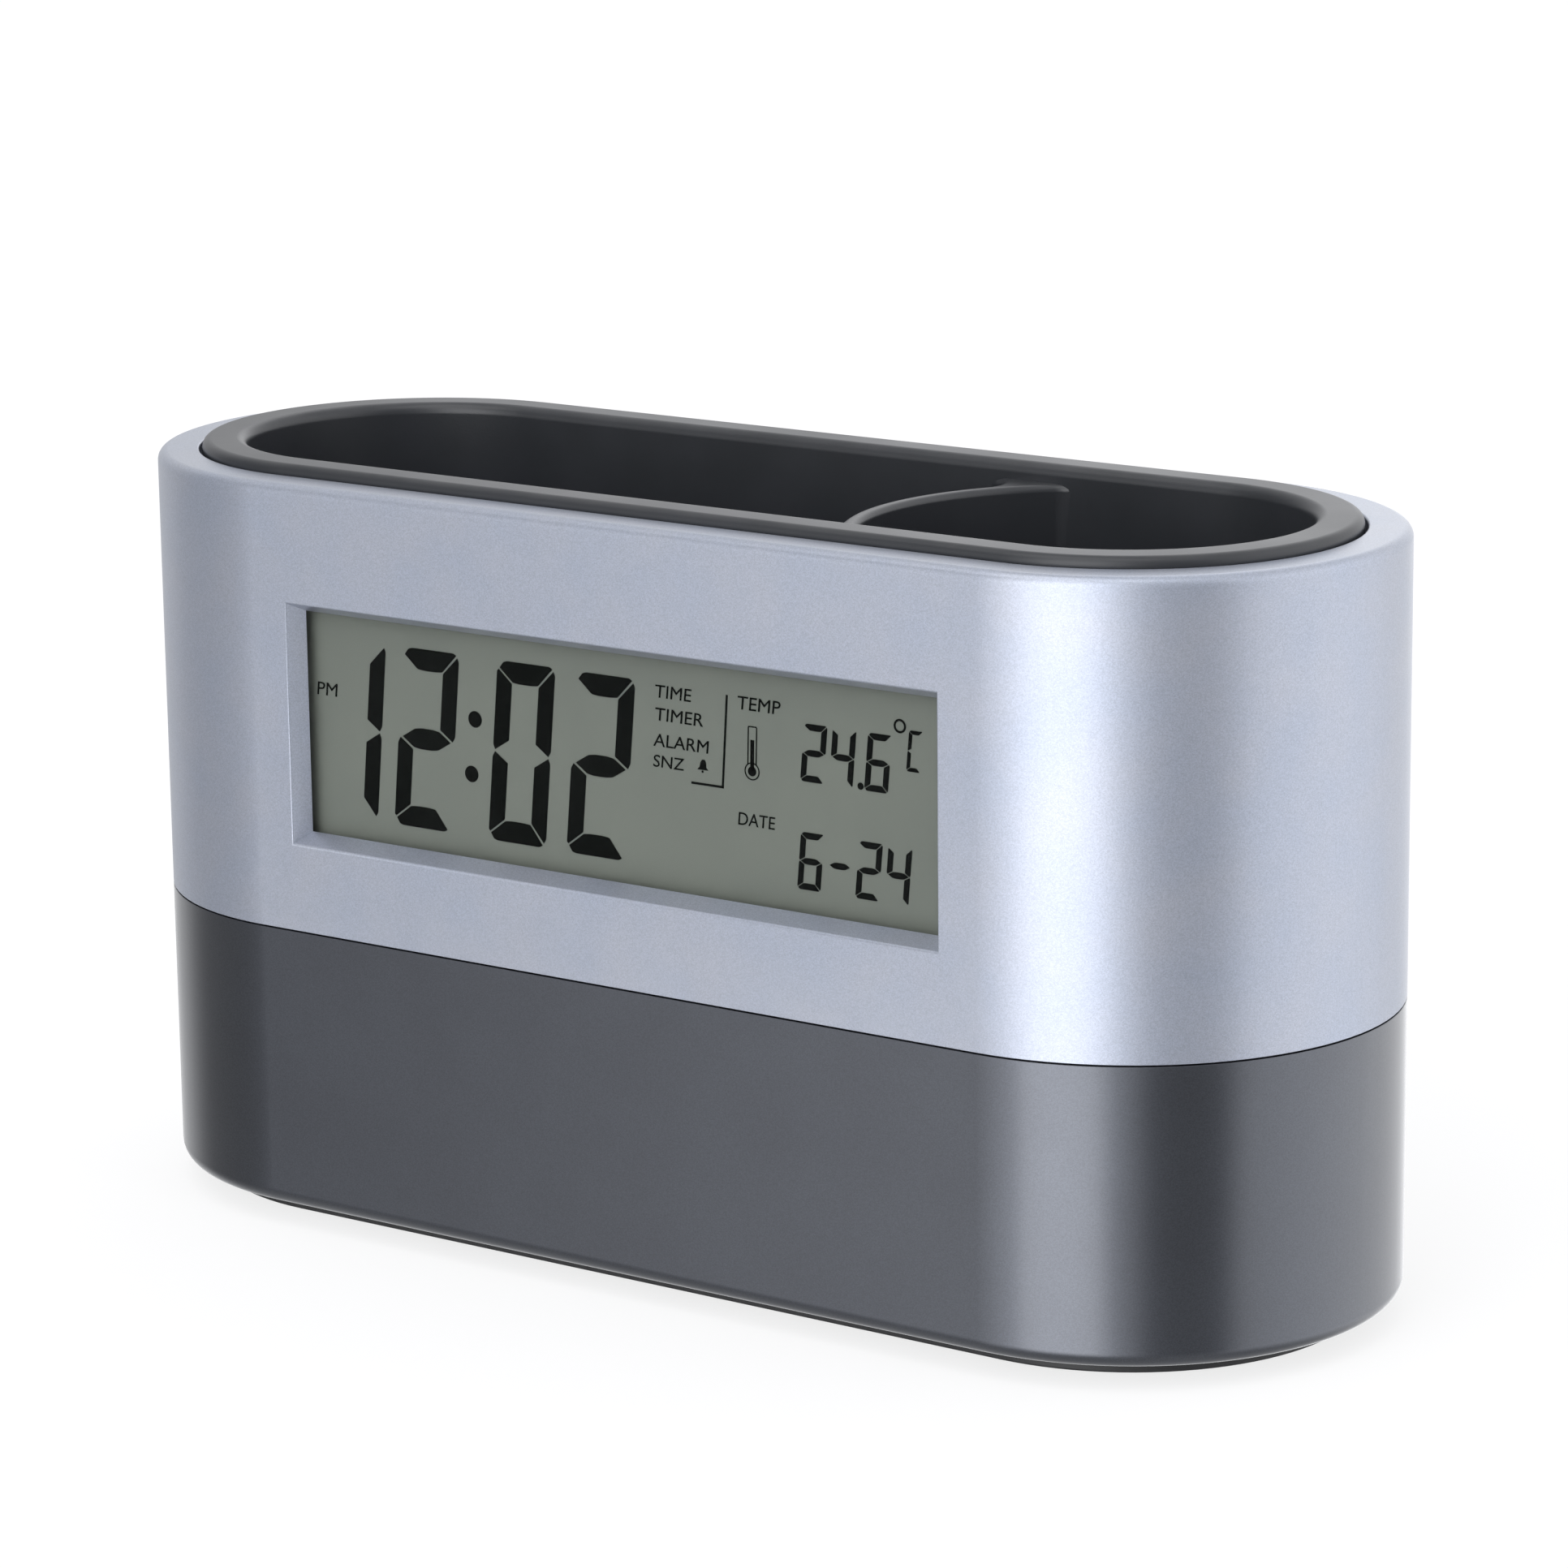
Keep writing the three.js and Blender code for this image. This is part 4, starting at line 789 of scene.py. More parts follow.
@dataclass(frozen=True)
class Laminate(Finish):
    """Circuit board: solder mask over copper tracks, with tinned pads."""

    track: Color = (0.045, 0.17, 0.07)
    pad: Color = (0.55, 0.52, 0.42)

    def pattern(self, tree: Tree) -> Socket:
        """Square-cornered tracks and a scatter of round pads."""
        place = tree.place()
        routes = tree.add("ShaderNodeTexVoronoi", Vector=place, Scale=330.0, Randomness=0.75)
        routes.distance = "CHEBYCHEV"
        line = tree.math("PINGPONG", tree.math("MULTIPLY", routes.outputs["Distance"], 3.2), 0.5)
        tracks = tree.math("MULTIPLY", tree.ramp(line, 0.2, 0.26), 0.8)
        dots = tree.add("ShaderNodeTexVoronoi", Vector=place, Scale=250.0, Randomness=0.9)
        pads = tree.ramp(dots.outputs["Distance"], 0.12, 0.14, 1.0, 0.0)
        tracked = tree.blend(tracks, super().pattern(tree), (*self.track, 1.0))
        return tree.blend(pads, tracked, (*self.pad, 1.0))


@dataclass(frozen=True)
class Striped(Finish):
    """Layers or strands of another colour that repeat along one axis."""

    stripe: Color = (0.5, 0.5, 0.5)
    axis: Axis = Axis.X
    pitch: float = 0.4
    share: float = 0.5

    def pattern(self, tree: Tree) -> Socket:
        """Even stripes, with slightly soft edges."""
        along = tree.part(tree.place(), "XYZ"[self.axis.value])
        turns = tree.math("FRACT", tree.math("MULTIPLY", along, 1.0 / (self.pitch * MM)))
        band = tree.ramp(turns, self.share - 0.05, self.share + 0.05)
        return tree.blend(band, super().pattern(tree), (*self.stripe, 1.0))


@dataclass(frozen=True)
class Jacket(Finish):
    """A cell's printed jacket with a band of another colour from one place on."""

    band: Color = (0.42, 0.21, 0.08)
    line: Color = (0.5, 0.5, 0.48)
    edge: float = 10.0
    way: int = 1

    def pattern(self, tree: Tree) -> Socket:
        """The ground colour, a band at the button end and a thin line between."""
        along = tree.math("MULTIPLY", tree.part(tree.place(), "X"), self.way / MM)
        reach = tree.math("SUBTRACT", along, self.edge)
        line = tree.ramp(tree.math("ABSOLUTE", reach), 0.35, 0.4, 1.0, 0.0)
        banded = tree.blend(tree.ramp(reach, -0.02, 0.02), super().pattern(tree), (*self.band, 1.0))
        return tree.blend(line, banded, (*self.line, 1.0))


FINISHES: dict[Slot, Finish] = {
    finish.slot: finish
    for finish in (
        FlakePaint(
            Slot.SILVER, color=(0.43, 0.454, 0.524), shade=(0.405, 0.44, 0.525), roughness=0.34,
            metallic=0.6, bump=0.04, patchiness=0.03, worn=(0.55, 0.57, 0.62), wear=0.15, dust=0.03,
            coat=0.3, coat_roughness=0.2,
        ),
        FlakePaint(
            Slot.GREY, color=(0.086, 0.093, 0.111), shade=(0.081, 0.087, 0.104), roughness=0.32,
            metallic=0.95, bump=0.05, patchiness=0.04, worn=(0.2, 0.21, 0.23), wear=0.15, dust=0.03,
            coat=1.0, coat_roughness=0.14,
        ),
        Finish(
            Slot.DARK, color=(0.026, 0.028, 0.032), shade=(0.030, 0.032, 0.037), roughness=0.32,
            bump=0.2, grain=3200.0, patchiness=0.08, worn=(0.08, 0.085, 0.095), wear=0.3, dust=0.06,
        ),
        Finish(
            Slot.BLACK, color=(0.014, 0.014, 0.015), shade=(0.018, 0.018, 0.019), roughness=0.5,
            bump=0.3, grain=2600.0, worn=(0.05, 0.05, 0.05), wear=0.25,
        ),
        Finish(
            Slot.RUBBER, color=(0.012, 0.012, 0.012), shade=(0.02, 0.02, 0.02), roughness=0.85,
            bump=0.4, grain=1800.0, dust=0.2, specular=0.3,
        ),
        BrushedMetal(
            Slot.STEEL, color=(0.58, 0.585, 0.60), shade=(0.50, 0.505, 0.52), roughness=0.28,
            metallic=1.0, bump=0.05, patchiness=0.12, worn=(0.75, 0.75, 0.76), wear=0.2, dust=0.02,
        ),
        Finish(
            Slot.GLASS, color=(0.170, 0.186, 0.160), shade=(0.163, 0.179, 0.155), roughness=0.5,
            bump=0.0, patchiness=0.03, dust=0.0, specular=0.15,
        ),
        BrushedMetal(
            Slot.REFLECTOR, color=(0.36, 0.38, 0.33), shade=(0.31, 0.33, 0.29), roughness=0.45,
            metallic=0.6, bump=0.05, dust=0.0,
        ),
        Striped(
            Slot.ZEBRA, color=(0.02, 0.02, 0.02), shade=(0.026, 0.026, 0.026), roughness=0.7, bump=0.2,
            stripe=(0.55, 0.5, 0.5), pitch=0.5, share=0.62, dust=0.0,
        ),
        Laminate(
            Slot.BOARD, color=(0.022, 0.105, 0.042), shade=(0.018, 0.09, 0.036), roughness=0.3,
            bump=0.08, worn=(0.35, 0.33, 0.2), wear=0.3, dust=0.06, coat=0.2,
        ),
        Finish(
            Slot.EPOXY, color=(0.011, 0.011, 0.012), shade=(0.02, 0.02, 0.021), roughness=0.24,
            bump=0.15, grain=900.0, patchiness=0.2, dust=0.04, coat=0.3,
        ),
        Finish(
            Slot.CERAMIC, color=(0.62, 0.62, 0.58), shade=(0.55, 0.55, 0.51), roughness=0.4,
            metallic=0.35, patchiness=0.15, worn=(0.3, 0.29, 0.26), wear=0.2,
        ),
        BrushedMetal(
            Slot.BRASS, color=(0.58, 0.42, 0.17), shade=(0.48, 0.34, 0.13), roughness=0.3, metallic=1.0,
            bump=0.05, patchiness=0.15, worn=(0.72, 0.56, 0.28), wear=0.3,
        ),
        Finish(
            Slot.RED, color=(0.38, 0.012, 0.01), shade=(0.30, 0.01, 0.008), roughness=0.42, bump=0.06,
        ),
        Finish(
            Slot.WIRE, color=(0.012, 0.012, 0.012), shade=(0.02, 0.02, 0.02), roughness=0.42, bump=0.06,
        ),
        Striped(
            Slot.RIBBON, color=(0.30, 0.30, 0.31), shade=(0.34, 0.34, 0.35), roughness=0.45, bump=0.05,
            stripe=(0.13, 0.13, 0.14), pitch=1.0, share=0.86, dust=0.03,
        ),
    )
}

DISPLAY_INK = Finish(
    Slot.BLACK, color=(0.0018, 0.0024, 0.0021), shade=(0.0022, 0.0028, 0.0025), roughness=0.75,
    bump=0.0, patchiness=0.0, dust=0.0, specular=0.03,
)

LABEL_INK = Finish(
    Slot.DARK, color=(0.035, 0.037, 0.042), shade=(0.045, 0.047, 0.052), roughness=0.5, dust=0.02,
    specular=0.4,
)

KEY_PLASTIC = Finish(
    Slot.DARK, color=(0.022, 0.023, 0.027), shade=(0.027, 0.028, 0.032), roughness=0.34, bump=0.2,
    grain=3000.0, worn=(0.09, 0.095, 0.105), wear=0.4, dust=0.06,
)

CAPACITOR = Jacket(
    Slot.ZEBRA, color=(0.5, 0.28, 0.05), shade=(0.42, 0.23, 0.04), roughness=0.4,
    band=(0.09, 0.045, 0.01), line=(0.3, 0.16, 0.03), edge=19.1,
)

JACKETS: dict[int, Jacket] = {
    way: Jacket(
        Slot.CELL, color=(0.020, 0.055, 0.145), shade=(0.018, 0.048, 0.13), roughness=0.24,
        metallic=0.5, bump=0.02, patchiness=0.05, worn=(0.4, 0.4, 0.4), wear=0.3, dust=0.02, coat=0.5,
        way=way,
    )
    for way in (-1, 1)
}


@dataclass(frozen=True)
class ClearPlastic:
    """The lens: clear plastic that shows the glass behind it."""

    tint: Color = (0.20, 0.21, 0.20)
    cover: float = 0.008
    haze: float = 0.012
    specular: float = 0.1

    def material(self, effects: Effects) -> Material:
        """Build the clear finish, a little more covered where smears and dust lie.

        Args:
            effects: the shared shader groups.

        Returns:
            The material.
        """
        made = bpy.data.materials.new(Slot.CLEAR.value)
        tree = Tree.of(made)
        place = tree.place()
        smears = tree.ramp(tree.noise(place, 50.0, 5.0, 0.6), 0.4, 0.8, self.cover, self.cover + self.haze)
        dust = effects.place(tree, effects.dust, Amount=self.haze)
        shader = tree.add(
            "ShaderNodeBsdfPrincipled",
            Base_Color=(*self.tint, 1.0),
            Roughness=tree.ramp(tree.noise(place, 25.0, 4.0), 0.3, 0.7, 0.03, 0.09),
            IOR=1.49,
            Specular_IOR_Level=self.specular,
            Alpha=tree.math("ADD", smears, dust.outputs["Mask"]),
        )
        tree.add("ShaderNodeOutputMaterial", Surface=shader.outputs["BSDF"])
        return made


CLEAR_PLASTIC = ClearPlastic()


class Workshop:
    """Makes each material once, dresses finished pieces and puts them on their bodies."""

    def __init__(self) -> None:
        """Start with the shared effects and no pieces."""
        self.effects = Effects()
        self.made: dict[object, Material] = {}
        self.count = 0

    def material(self, finish: "Finish | ClearPlastic") -> Material:
        """The material of a finish, built when it is first asked for."""
        if finish not in self.made:
            self.made[finish] = finish.material(self.effects)
        return self.made[finish]

    def keep(
        self,
        piece: Piece,
        slot: Slot,
        *replaces: str,
        finish: "Finish | ClearPlastic | None" = None,
        body: Body = Body.CASE,
    ) -> None:
        """Smooth, dress and mount one piece.

        Args:
            piece: the finished mesh.
            slot: the record's slot that it takes its finish from.
            replaces: the CAD nodes that it stands for.
            finish: a finish other than the slot's own.
            body: the body that it rides on.
        """
        activate(piece)
        bpy.ops.object.shade_smooth_by_angle(angle=math.radians(SMOOTH_ANGLE))
        bpy.ops.object.modifier_add(type="WEIGHTED_NORMAL")
        piece.modifiers[-1].keep_sharp = True
        bpy.ops.object.modifier_apply(modifier=piece.modifiers[-1].name)
        piece.data.materials.clear()
        piece.data.materials.append(self.material(finish or FINISHES[slot]))
        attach(piece, body.value)
        if replaces:
            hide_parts(*replaces)
        self.count += 1
        LOG.info("%s on %s, %d faces", piece.name, body.value, len(piece.data.polygons))


def span(node: str) -> tuple[Vector, Vector]:
    """The two corners of a CAD node's box, in millimetres."""
    low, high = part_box(node)
    return low / MM, high / MM


def middle_of(node: str) -> Vector:
    """Middle of a CAD node's box, in millimetres."""
    low, high = span(node)
    return (low + high) / 2


def centre_of(node: str, axis: Axis) -> Pair:
    """The middle's two coordinates beside an axis, in X, Y, Z order."""
    first, second = (value for i, value in enumerate(middle_of(node)) if i != axis.value)
    return first, second


def radius_of(node: str) -> float:
    """Radius of a round CAD node that stands or lies along the case, from its length along X."""
    low, high = span(node)
    return (high.x - low.x) / 2


def filled(name: str, node: str, edge: float = 0.0) -> Piece:
    """A box that fills the place of a CAD node, with its edges rounded."""
    low, high = span(node)
    return block(name, tuple(low), tuple(high), edge)


def repeated(piece: Piece, node: str, marks: Sequence[str]) -> Iterator[Piece]:
    """Copy a piece to the places of like CAD nodes, each copy with its own mesh.

    Every copy is taken before the piece is dressed.

    Args:
        piece: the piece at the first node, with that node's mark in its name.
        node: the nodes' name, with {} for the mark.
        marks: what the nodes' names differ by.

    Returns:
        The piece and then its copies, one by one, in the order of the marks.
    """
    yield piece
    for mark in marks[1:]:
        activate(piece)
        bpy.ops.object.duplicate()
        copy = named(piece.name.replace(marks[0], mark))
        copy.location = (middle_of(node.format(mark)) - middle_of(node.format(marks[0]))) * MM
        bpy.ops.object.transform_apply(location=True, rotation=False, scale=False)
        yield copy


def hinge_place() -> Pair:
    """The door hinge's Y and Z, in millimetres."""
    place = next(joint for joint in frame["joints"] if joint["name"] == "door_hinge")["pos_m"]
    return place[1] / MM, place[2] / MM


@dataclass(frozen=True)
class CaseForm:
    """The upright stadium that every shell of the case follows."""

    radius: float
    end: float
    steps: int = 48

    @classmethod
    def of(cls, node: str) -> "CaseForm":
        """Measure the outline on a CAD shell."""
        low, high = span(node)
        radius = (high.y - low.y) / 2
        return cls(radius=radius, end=(high.x - low.x) / 2 - radius)

    def shell(self, name: str, line: Line, closed: bool = True) -> Piece:
        """Sweep a section once round the stadium.

        Args:
            name: the piece's name.
            line: the section, as (inset, height) points.
            closed: whether the section is closed, or open for a floor to fill.

        Returns:
            The swept shell.
        """
        section = [Vector((self.end, inset - self.radius, z)) * MM for inset, z in line.points]
        piece = draw(name, section, closed)
        with editing(piece, whole=True):
            for side in (1, -1):
                centre = Vector((side * self.end, 0, 0)) * MM
                bpy.ops.mesh.spin(steps=self.steps, angle=-math.pi, center=centre, axis=(0, 0, 1))
                along = Vector((-side * 2 * self.end, 0, 0)) * MM
                bpy.ops.mesh.extrude_region_move(TRANSFORM_OT_translate={"value": along})
        tidy_shell(piece)
        return piece


@dataclass
class SubAssembly:
    """Pieces that belong together and follow the case's form."""

    shop: Workshop
    form: CaseForm


@dataclass
class Sleeve(SubAssembly):
    """The silver upper shell, with its rim, window, key recess and vents."""

    wall: float = 2.6
    seam_edge: float = 0.08
    edge_radius: float = 1.4
    rim_width: float = 5.5
    rim_fillet: float = 0.3
    ledge_inner: float = 9.7
    ledge_drop: float = 2.0
    ledge_thickness: float = 2.2
    groove_inset: float = 1.2
    groove_height: float = 2.3
    window_length: float = 100.4
    window_height: float = 31.8
    window_sill: float = 11.6
    window_bevel: float = 1.3
    window_edge: float = 0.22
    recess_length: float = 81.0
    recess_height: float = 12.0
    recess_depth: float = 0.8
    recess_edge: float = 0.25
    key_gap: float = 0.3
    vent_x: float = -50.0
    vent_length: float = 10.0
    vent_height: float = 1.2
    vent_pitch: float = 3.0
    vent_count: int = 4
    vent_edge: float = 0.15
    boss_radius: float = 2.4
    boss_bore: float = 1.1

    def section(self, z0: float, z1: float) -> Line:
        """The wall's section, from the seam up over the rim and down inside."""
        e, r, f = self.seam_edge, self.edge_radius, self.rim_fillet
        ledge = z1 - self.ledge_drop
        line = Line(e, z0).arc(e, z0 + e, e, 270, 180, 3)
        line.arc(r, z1 - r, r, 180, 90, 10)
        line.arc(self.rim_width - f, z1 - f, f, 90, 0, 4)
        line.to(self.rim_width, ledge).to(self.ledge_inner, ledge)
        line.to(self.ledge_inner, ledge - self.ledge_thickness)
        line.to(self.wall, ledge - self.ledge_thickness)
        line.to(self.wall, z0 + self.groove_height).to(self.groove_inset, z0 + self.groove_height)
        return line.to(self.groove_inset, z0)

    def window_tool(self, z: float) -> Piece:
        """The tapering tool that cuts the window, with its middle at a height."""
        slope = self.window_bevel / self.wall
        ahead, behind = 1.0, self.wall + 0.4
        half = self.window_length / 2 + slope * ahead
        rise = self.window_height / 2 + slope * ahead
        inner = behind - self.form.radius
        tool = block("window_tool", (-half, -self.form.radius - ahead, z - rise), (half, inner, z + rise))
        shrink = slope * (ahead + behind)
        with editing(tool, "FACE"):
            choose(tool, lambda p: abs(p.y - inner * MM) < ON_PLANE, "FACE")
            bpy.ops.transform.resize(
                value=(1 - shrink / half, 1, 1 - shrink / rise),
                center_override=Vector((0, inner, z)) * MM,
            )
        return tool

    def build(self) -> None:
        """Model the shell and keep it."""
        low, high = span("upper_shell")
        back, length, height = self.form.radius, self.window_length, self.window_height
        piece = self.form.shell("sleeve_shell", self.section(low.z, high.z))
        window_z = low.z + self.window_sill + height / 2
        cut(piece, self.window_tool(window_z))
        round_edges(piece, on_face(-back, 0, window_z, length, height), self.window_edge, 3)
        key_z = middle_of("button_up").z
        length, height = self.recess_length, self.recess_height
        outline = pill(0, key_z, length, height, 24)
        cut(piece, prism("recess_tool", Axis.Y, outline, back + 1, back - self.recess_depth))
        round_edges(piece, on_face(back, 0, key_z, length, height), self.recess_edge)
        cut(piece, join("key_holes", *[self.key_hole(key) for key in KEY_BODIES]))
        cut(piece, join("vent_tools", *self.vents(key_z)))
        height = self.vent_count * self.vent_pitch
        vents = on_face(back, self.vent_x, key_z, self.vent_length, height)
        round_edges(piece, vents, self.vent_edge)
        self.bosses(piece)
        self.shop.keep(piece, Slot.SILVER, "upper_shell")

    def key_hole(self, key: str) -> Piece:
        """The tool for one button's hole."""
        low, high = span(f"button_{key}")
        room = 2 * self.key_gap - 2
        centre, wall = centre_of(f"button_{key}", Axis.Y), self.form.radius - self.wall
        outline = pill(*centre, high.x - low.x + room, high.z - low.z + room)
        return prism(f"hole_{key}", Axis.Y, outline, self.form.radius + 1, wall - 1)

    def vents(self, key_z: float) -> list[Piece]:
        """The tools for the slots by the sensor."""
        tools = []
        back = self.form.radius
        for i in range(self.vent_count):
            z = key_z + (i - (self.vent_count - 1) / 2) * self.vent_pitch
            outline = pill(self.vent_x, z, self.vent_length, self.vent_height, 8)
            tools.append(prism(f"vent_{i}", Axis.Y, outline, back + 1, back - self.wall - 1))
        return tools

    def bosses(self, piece: Piece) -> None:
        """Add the posts that take the boards' screws, and bore them."""
        inside = self.form.radius - self.wall
        front, rear = span("main_board")[0].y - 0.3, span("key_board")[1].y + 0.3
        for name, way, count, tip in (("board_screw", -1, 4, front), ("key_board_screw", 1, 2, rear)):
            post = sorted((way * (inside + self.wall / 2), tip))
            bore = sorted((way * (inside - 0.3), tip - way))
            for i in range(1, count + 1):
                centre = centre_of(f"{name}_{i}", Axis.Y)
                add(piece, rod(Axis.Y, centre, self.boss_radius, *post, 24))
                cut(piece, rod(Axis.Y, centre, self.boss_bore, *bore, 16))


KEY_BODIES: dict[str, Body] = {
    "snooze": Body.SNOOZE,
    "down": Body.DOWN,
    "up": Body.UP,
    "set": Body.SET,
    "mode": Body.MODE,
}


@dataclass
class Base(SubAssembly):
    """The dark lower shell, with its tongue, bottom flange and battery opening."""

    wall: float = 2.6
    edge_radius: float = 2.2
    seam_edge: float = 0.1
    tongue_height: float = 2.2
    tongue_inset: float = 1.5
    flange_width: float = 9.0
    flange_thickness: float = 2.4
    door_gap: float = 0.35
    pin_bore: float = 0.8
    pin_reach: float = 1.7
    post_radius: float = 2.4
    post_bore: float = 1.1
    post_start: float = 3.0
    post_end: float = 1.3

    def build(self) -> None:
        """Model the shell and keep it."""
        low, high = span("base_shell")
        z0, z1, z2 = low.z, high.z - self.tongue_height, high.z
        back, r, e = self.form.radius, self.edge_radius, self.seam_edge
        line = Line(self.flange_width, z0).arc(r, z0 + r, r, 270, 180, 10)
        line.arc(e, z1 - e, e, 180, 90, 3).to(self.tongue_inset, z1).to(self.tongue_inset, z2)
        line.to(self.wall, z2).to(self.wall, z0 + self.flange_thickness)
        line.to(self.flange_width, z0 + self.flange_thickness)
        piece = self.form.shell("base_shell_body", line)
        low, high = span("battery_door")
        gap = self.door_gap
        half = high.x - BatteryBay.pin_length + gap
        opening = (-half, back - self.wall - 1, low.z - gap), (half, back + 1, high.z + gap)
        cut(piece, block("door_tool", *opening))
        reach = half + self.pin_reach
        cut(piece, rod(Axis.X, hinge_place(), self.pin_bore, -reach, reach))
        for node in ("tray_screw_1", "tray_screw_2"):
            centre, start = centre_of(node, Axis.Y), span(node)[0].y + self.post_start
            add(piece, rod(Axis.Y, centre, self.post_radius, start, back - self.post_end, 24))
            inside = back - self.wall - 0.3
            cut(piece, rod(Axis.Y, centre, self.post_bore, start - 1, inside, 16))
        self.shop.keep(piece, Slot.GREY, "base_shell")


@dataclass
class Liner(SubAssembly):
    """The dark insert: rounded lip, two cups and the curved divider between them."""

    lip_outer: float = 5.9
    lip_outer_radius: float = 1.2
    lip_inner_radius: float = 1.5
    lip_height: float = 3.0
    cavity: float = 11.9
    wall: float = 1.8
    draft: float = 0.02
    floor_thickness: float = 2.0
    cup_depth: float = 67.0
    floor_fillet: float = 3.0
    divider_x: float = 20.0
    divider_radius: float = 30.0
    divider_thickness: float = 2.2
    divider_fillet: float = 4.0
    divider_drop: float = 2.4
    divider_edge: float = 0.9
    divider_root: float = 0.35
    divider_spare: float = 2.5
    boss_radius: float = 3.6
    boss_bore: float = 1.6

    def inset(self, z: float, top: float) -> float:
        """Inset of the drafted cavity wall at a height."""
        return self.cavity + self.draft * (top - z)

    def build(self) -> None:
        """Model the insert and keep it."""
        low, high = span("cup_liner")
        top = high.z
        floor = top - self.cup_depth
        under = floor - self.floor_thickness
        ro, ri, f = self.lip_outer_radius, self.lip_inner_radius, self.floor_fillet
        foot = self.inset(floor, top) + f
        lip_bottom = top - self.lip_height
        line = Line(foot, under).to(self.inset(under, top) - self.wall + 0.6, under)
        line.to(self.inset(under, top) - self.wall, under + 0.6)
        line.to(self.inset(lip_bottom, top) - self.wall, lip_bottom)
        line.to(self.lip_outer, lip_bottom)
        line.arc(self.lip_outer + ro, top - ro, ro, 180, 90, 8)
        line.arc(self.cavity - ri, top - ri, ri, 90, 0, 8)
        line.arc(foot, floor + f, f, 180, 270, 6)
        piece = self.form.shell("liner_insert", line, closed=False)
        for level in (floor, under):
            self.fill_floor(piece, level, foot)
        tidy_shell(piece)
        add(piece, self.divider(floor, top))
        for corner in CORNERS:
            node = f"case_screw_{corner}"
            centre, tip = centre_of(node, Axis.Z), span(node)[1].z
            add(piece, rod(Axis.Z, centre, self.boss_radius, low.z, under + 1, 32))
            cut(piece, rod(Axis.Z, centre, self.boss_bore, low.z - 1, tip + 1, 24))
        self.shop.keep(piece, Slot.DARK, "cup_liner")

    def fill_floor(self, piece: Piece, level: float, foot: float) -> None:
        """Close the open loop of the floor at one level.

        Args:
            piece: the liner with its open loop.
            level: height of the loop.
            foot: how far the loop stays inside the liner's outline.
        """
        reach = self.form.radius - foot

        def on_loop(p: Vector) -> bool:
            """Whether a point lies on the floor's open loop."""
            across = math.hypot(max(abs(p.x / MM) - self.form.end, 0), p.y / MM)
            return abs(p.z - level * MM) < ON_PLANE and abs(across - reach) < 0.02

        with editing(piece, "EDGE"):
            choose(piece, on_loop, "EDGE")
            bpy.ops.mesh.edge_face_add()

    def divider(self, floor: float, top: float) -> Piece:
        """The curved wall, which swells into the large cup and flares into both sides.

        Args:
            floor: height of the cups' floor.
            top: height of the lip.

        Returns:
            The wall, trimmed to the cavity.
        """
        side, f = self.form.radius - self.cavity, self.divider_fillet
        end, cy = side + self.divider_spare, side - f
        centre = self.divider_x + self.divider_radius
        left = self.divider_radius + self.divider_thickness / 2
        right = self.divider_radius - self.divider_thickness / 2
        left_x = centre - math.sqrt((left + f) ** 2 - cy**2)
        right_x = centre - math.sqrt((right - f) ** 2 - cy**2)
        left_turn = math.degrees(math.atan2(cy, centre - left_x))
        right_turn = math.degrees(math.atan2(cy, centre - right_x))
        line = Line(right_x, -end)
        line.arc(right_x, -cy, f, -90, -180 + right_turn, 10)
        line.arc(centre, 0, right, 180 + right_turn, 180 - right_turn, 28)
        line.arc(right_x, cy, f, 180 - right_turn, 90, 10)
        line.to(right_x, end).to(left_x, end)
        line.arc(left_x, cy, f, 90, -left_turn, 10)
        line.arc(centre, 0, left, 180 - left_turn, 180 + left_turn, 28)
        line.arc(left_x, -cy, f, left_turn, -90, 10)
        line.to(left_x, -end)
        bottom = floor - self.floor_thickness / 2
        piece = prism("divider", Axis.Z, line, bottom, top - self.divider_drop, self.divider_edge, 4)
        for way in (1, -1):
            trim(piece, Vector((0, way * (side + self.divider_root), 0)) * MM, Vector((0, way, 0)))
        return piece


